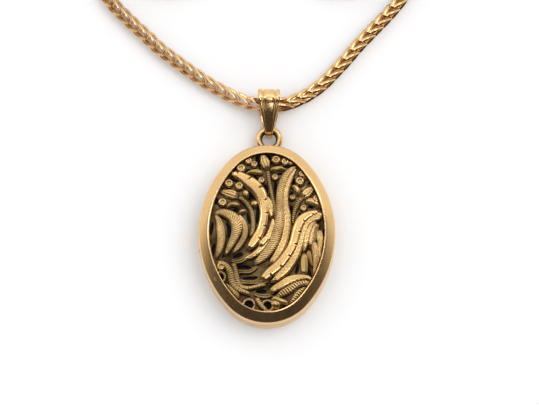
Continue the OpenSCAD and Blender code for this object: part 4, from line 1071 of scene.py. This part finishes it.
# Half of the section: across, and out from the inner face
bailSide = [(-1, 0.06), (-1, 0.3), (-0.95, 0.39), (-0.84, 0.44), (-0.72, 0.42), (-0.62, 0.34), (-0.56, 0.18),
            (-0.51, 0.16), (-0.47, 0.28), (-0.42, 0.36), (-0.22, 0.38), (0, 0.385)]
bailSection = bailSide + [(-across, out) for across, out in bailSide[-2::-1]] + [(0.94, 0), (-0.94, 0)]
bailLow, bailHigh = nodeBox("bail")
bail["eyeR"] = bailHigh.y - bail["eye"].y - bail["thick"]
bail["toeR"] = bail["toe"].y - bailLow.y - bail["thick"]
bail["topHalf"] = (bailHigh.x - bailLow.x) / 2


def loopPlace(b, share):  # centre, radius and direction of the inner face, a share of the way round the loop
    (eyeY, eyeZ), (toeY, toeZ) = b["eye"].yz, b["toe"].yz
    lean = math.atan2(eyeZ - toeZ, eyeY - toeY)
    run = math.hypot(eyeZ - toeZ, eyeY - toeY)
    turn = math.asin((b["eyeR"] - b["toeR"]) / run)
    straight = run * math.cos(turn)
    top, low = lean + math.pi / 2 + turn, lean - math.pi / 2 - turn
    lengths = [(top - low) * b["eyeR"], straight, (fullTurn - top + low) * b["toeR"], straight]
    distance = share * sum(lengths)
    leg = 0
    while leg < 3 and distance > lengths[leg]:
        distance -= lengths[leg]
        leg += 1
    t = min(distance / lengths[leg], 1)
    if leg == 0:
        return eyeY, eyeZ, b["eyeR"], low + (top - low) * t, 0
    if leg == 2:
        return toeY, toeZ, b["toeR"], top + (low + fullTurn - top) * t, 0
    if leg == 3:
        t = 1 - t
    return (eyeY + (toeY - eyeY) * t, eyeZ + (toeZ - eyeZ) * t, b["eyeR"] + (b["toeR"] - b["eyeR"]) * t,
            top if leg == 1 else low, b["bulge"] * math.sin(math.pi * t) if leg == 1 else 0)


def shapeBail(b):
    bm = bmesh.new()
    count = len(bailSection)
    toeEnd = b["toe"].y - b["toeR"] - bailSection[4][1]
    bmesh.ops.create_grid(bm, x_segments=b["rows"], y_segments=count, size=0.5)
    for vert in bm.verts:
        across, out = bailSection[round((vert.co.y + 0.5) * count) % count]
        y0, z0, radius, angle, bulge = loopPlace(b, (vert.co.x + 0.5) % 1)
        out = radius + out + bulge
        y, z = y0 + out * math.cos(angle), z0 + out * math.sin(angle)
        half = b["toeHalf"] + (b["topHalf"] - b["toeHalf"]) * (y - toeEnd) / (b["eye"].y - toeEnd)
        vert.co = (b["eye"].x + across * min(half, b["topHalf"]), y, z)
    closeUp(bm, 0.001)
    finishPiece("bail_loop", bm, "polished_gold", "bail", ("bail",), 34)


def makeRing():
    low, high = nodeBox("top_ring")
    middle, wire = (low + high) / 2, (high.z - low.z) / 2
    bm = bmesh.new()
    standCircle(bm, 32, wire, (high.x - wire, middle.y, middle.z))
    turnRound(bm, bm.verts[:] + bm.edges[:], middle, 80)
    closeUp(bm)
    patinaAndShade = bm.verts.layers.float.new("patinaAndShade")
    # the ring's inner side is painted darker: painted shade
    for vert in bm.verts:
        inward = (middle.x - wire - low.x - math.hypot(vert.co.x - middle.x, vert.co.y - middle.y)) / wire
        vert[patinaAndShade] = min(max(inward * 1.6 - 0.2, 0), 0.85)
    finishPiece("soldered_ring", bm, "worn_gold", "case", ("top_ring",))


shapeBail(bail)
makeRing()
print("ring and bail made")


# What stays as the frame has it gets its finish

for subpart in frame["record"]["subparts"]:
    holder = frame["nodes"][subpart["node"]]
    holder.data.materials.clear()
    holder.data.materials.append(finishes[subpart["material_slot"]])
print("finishes set")
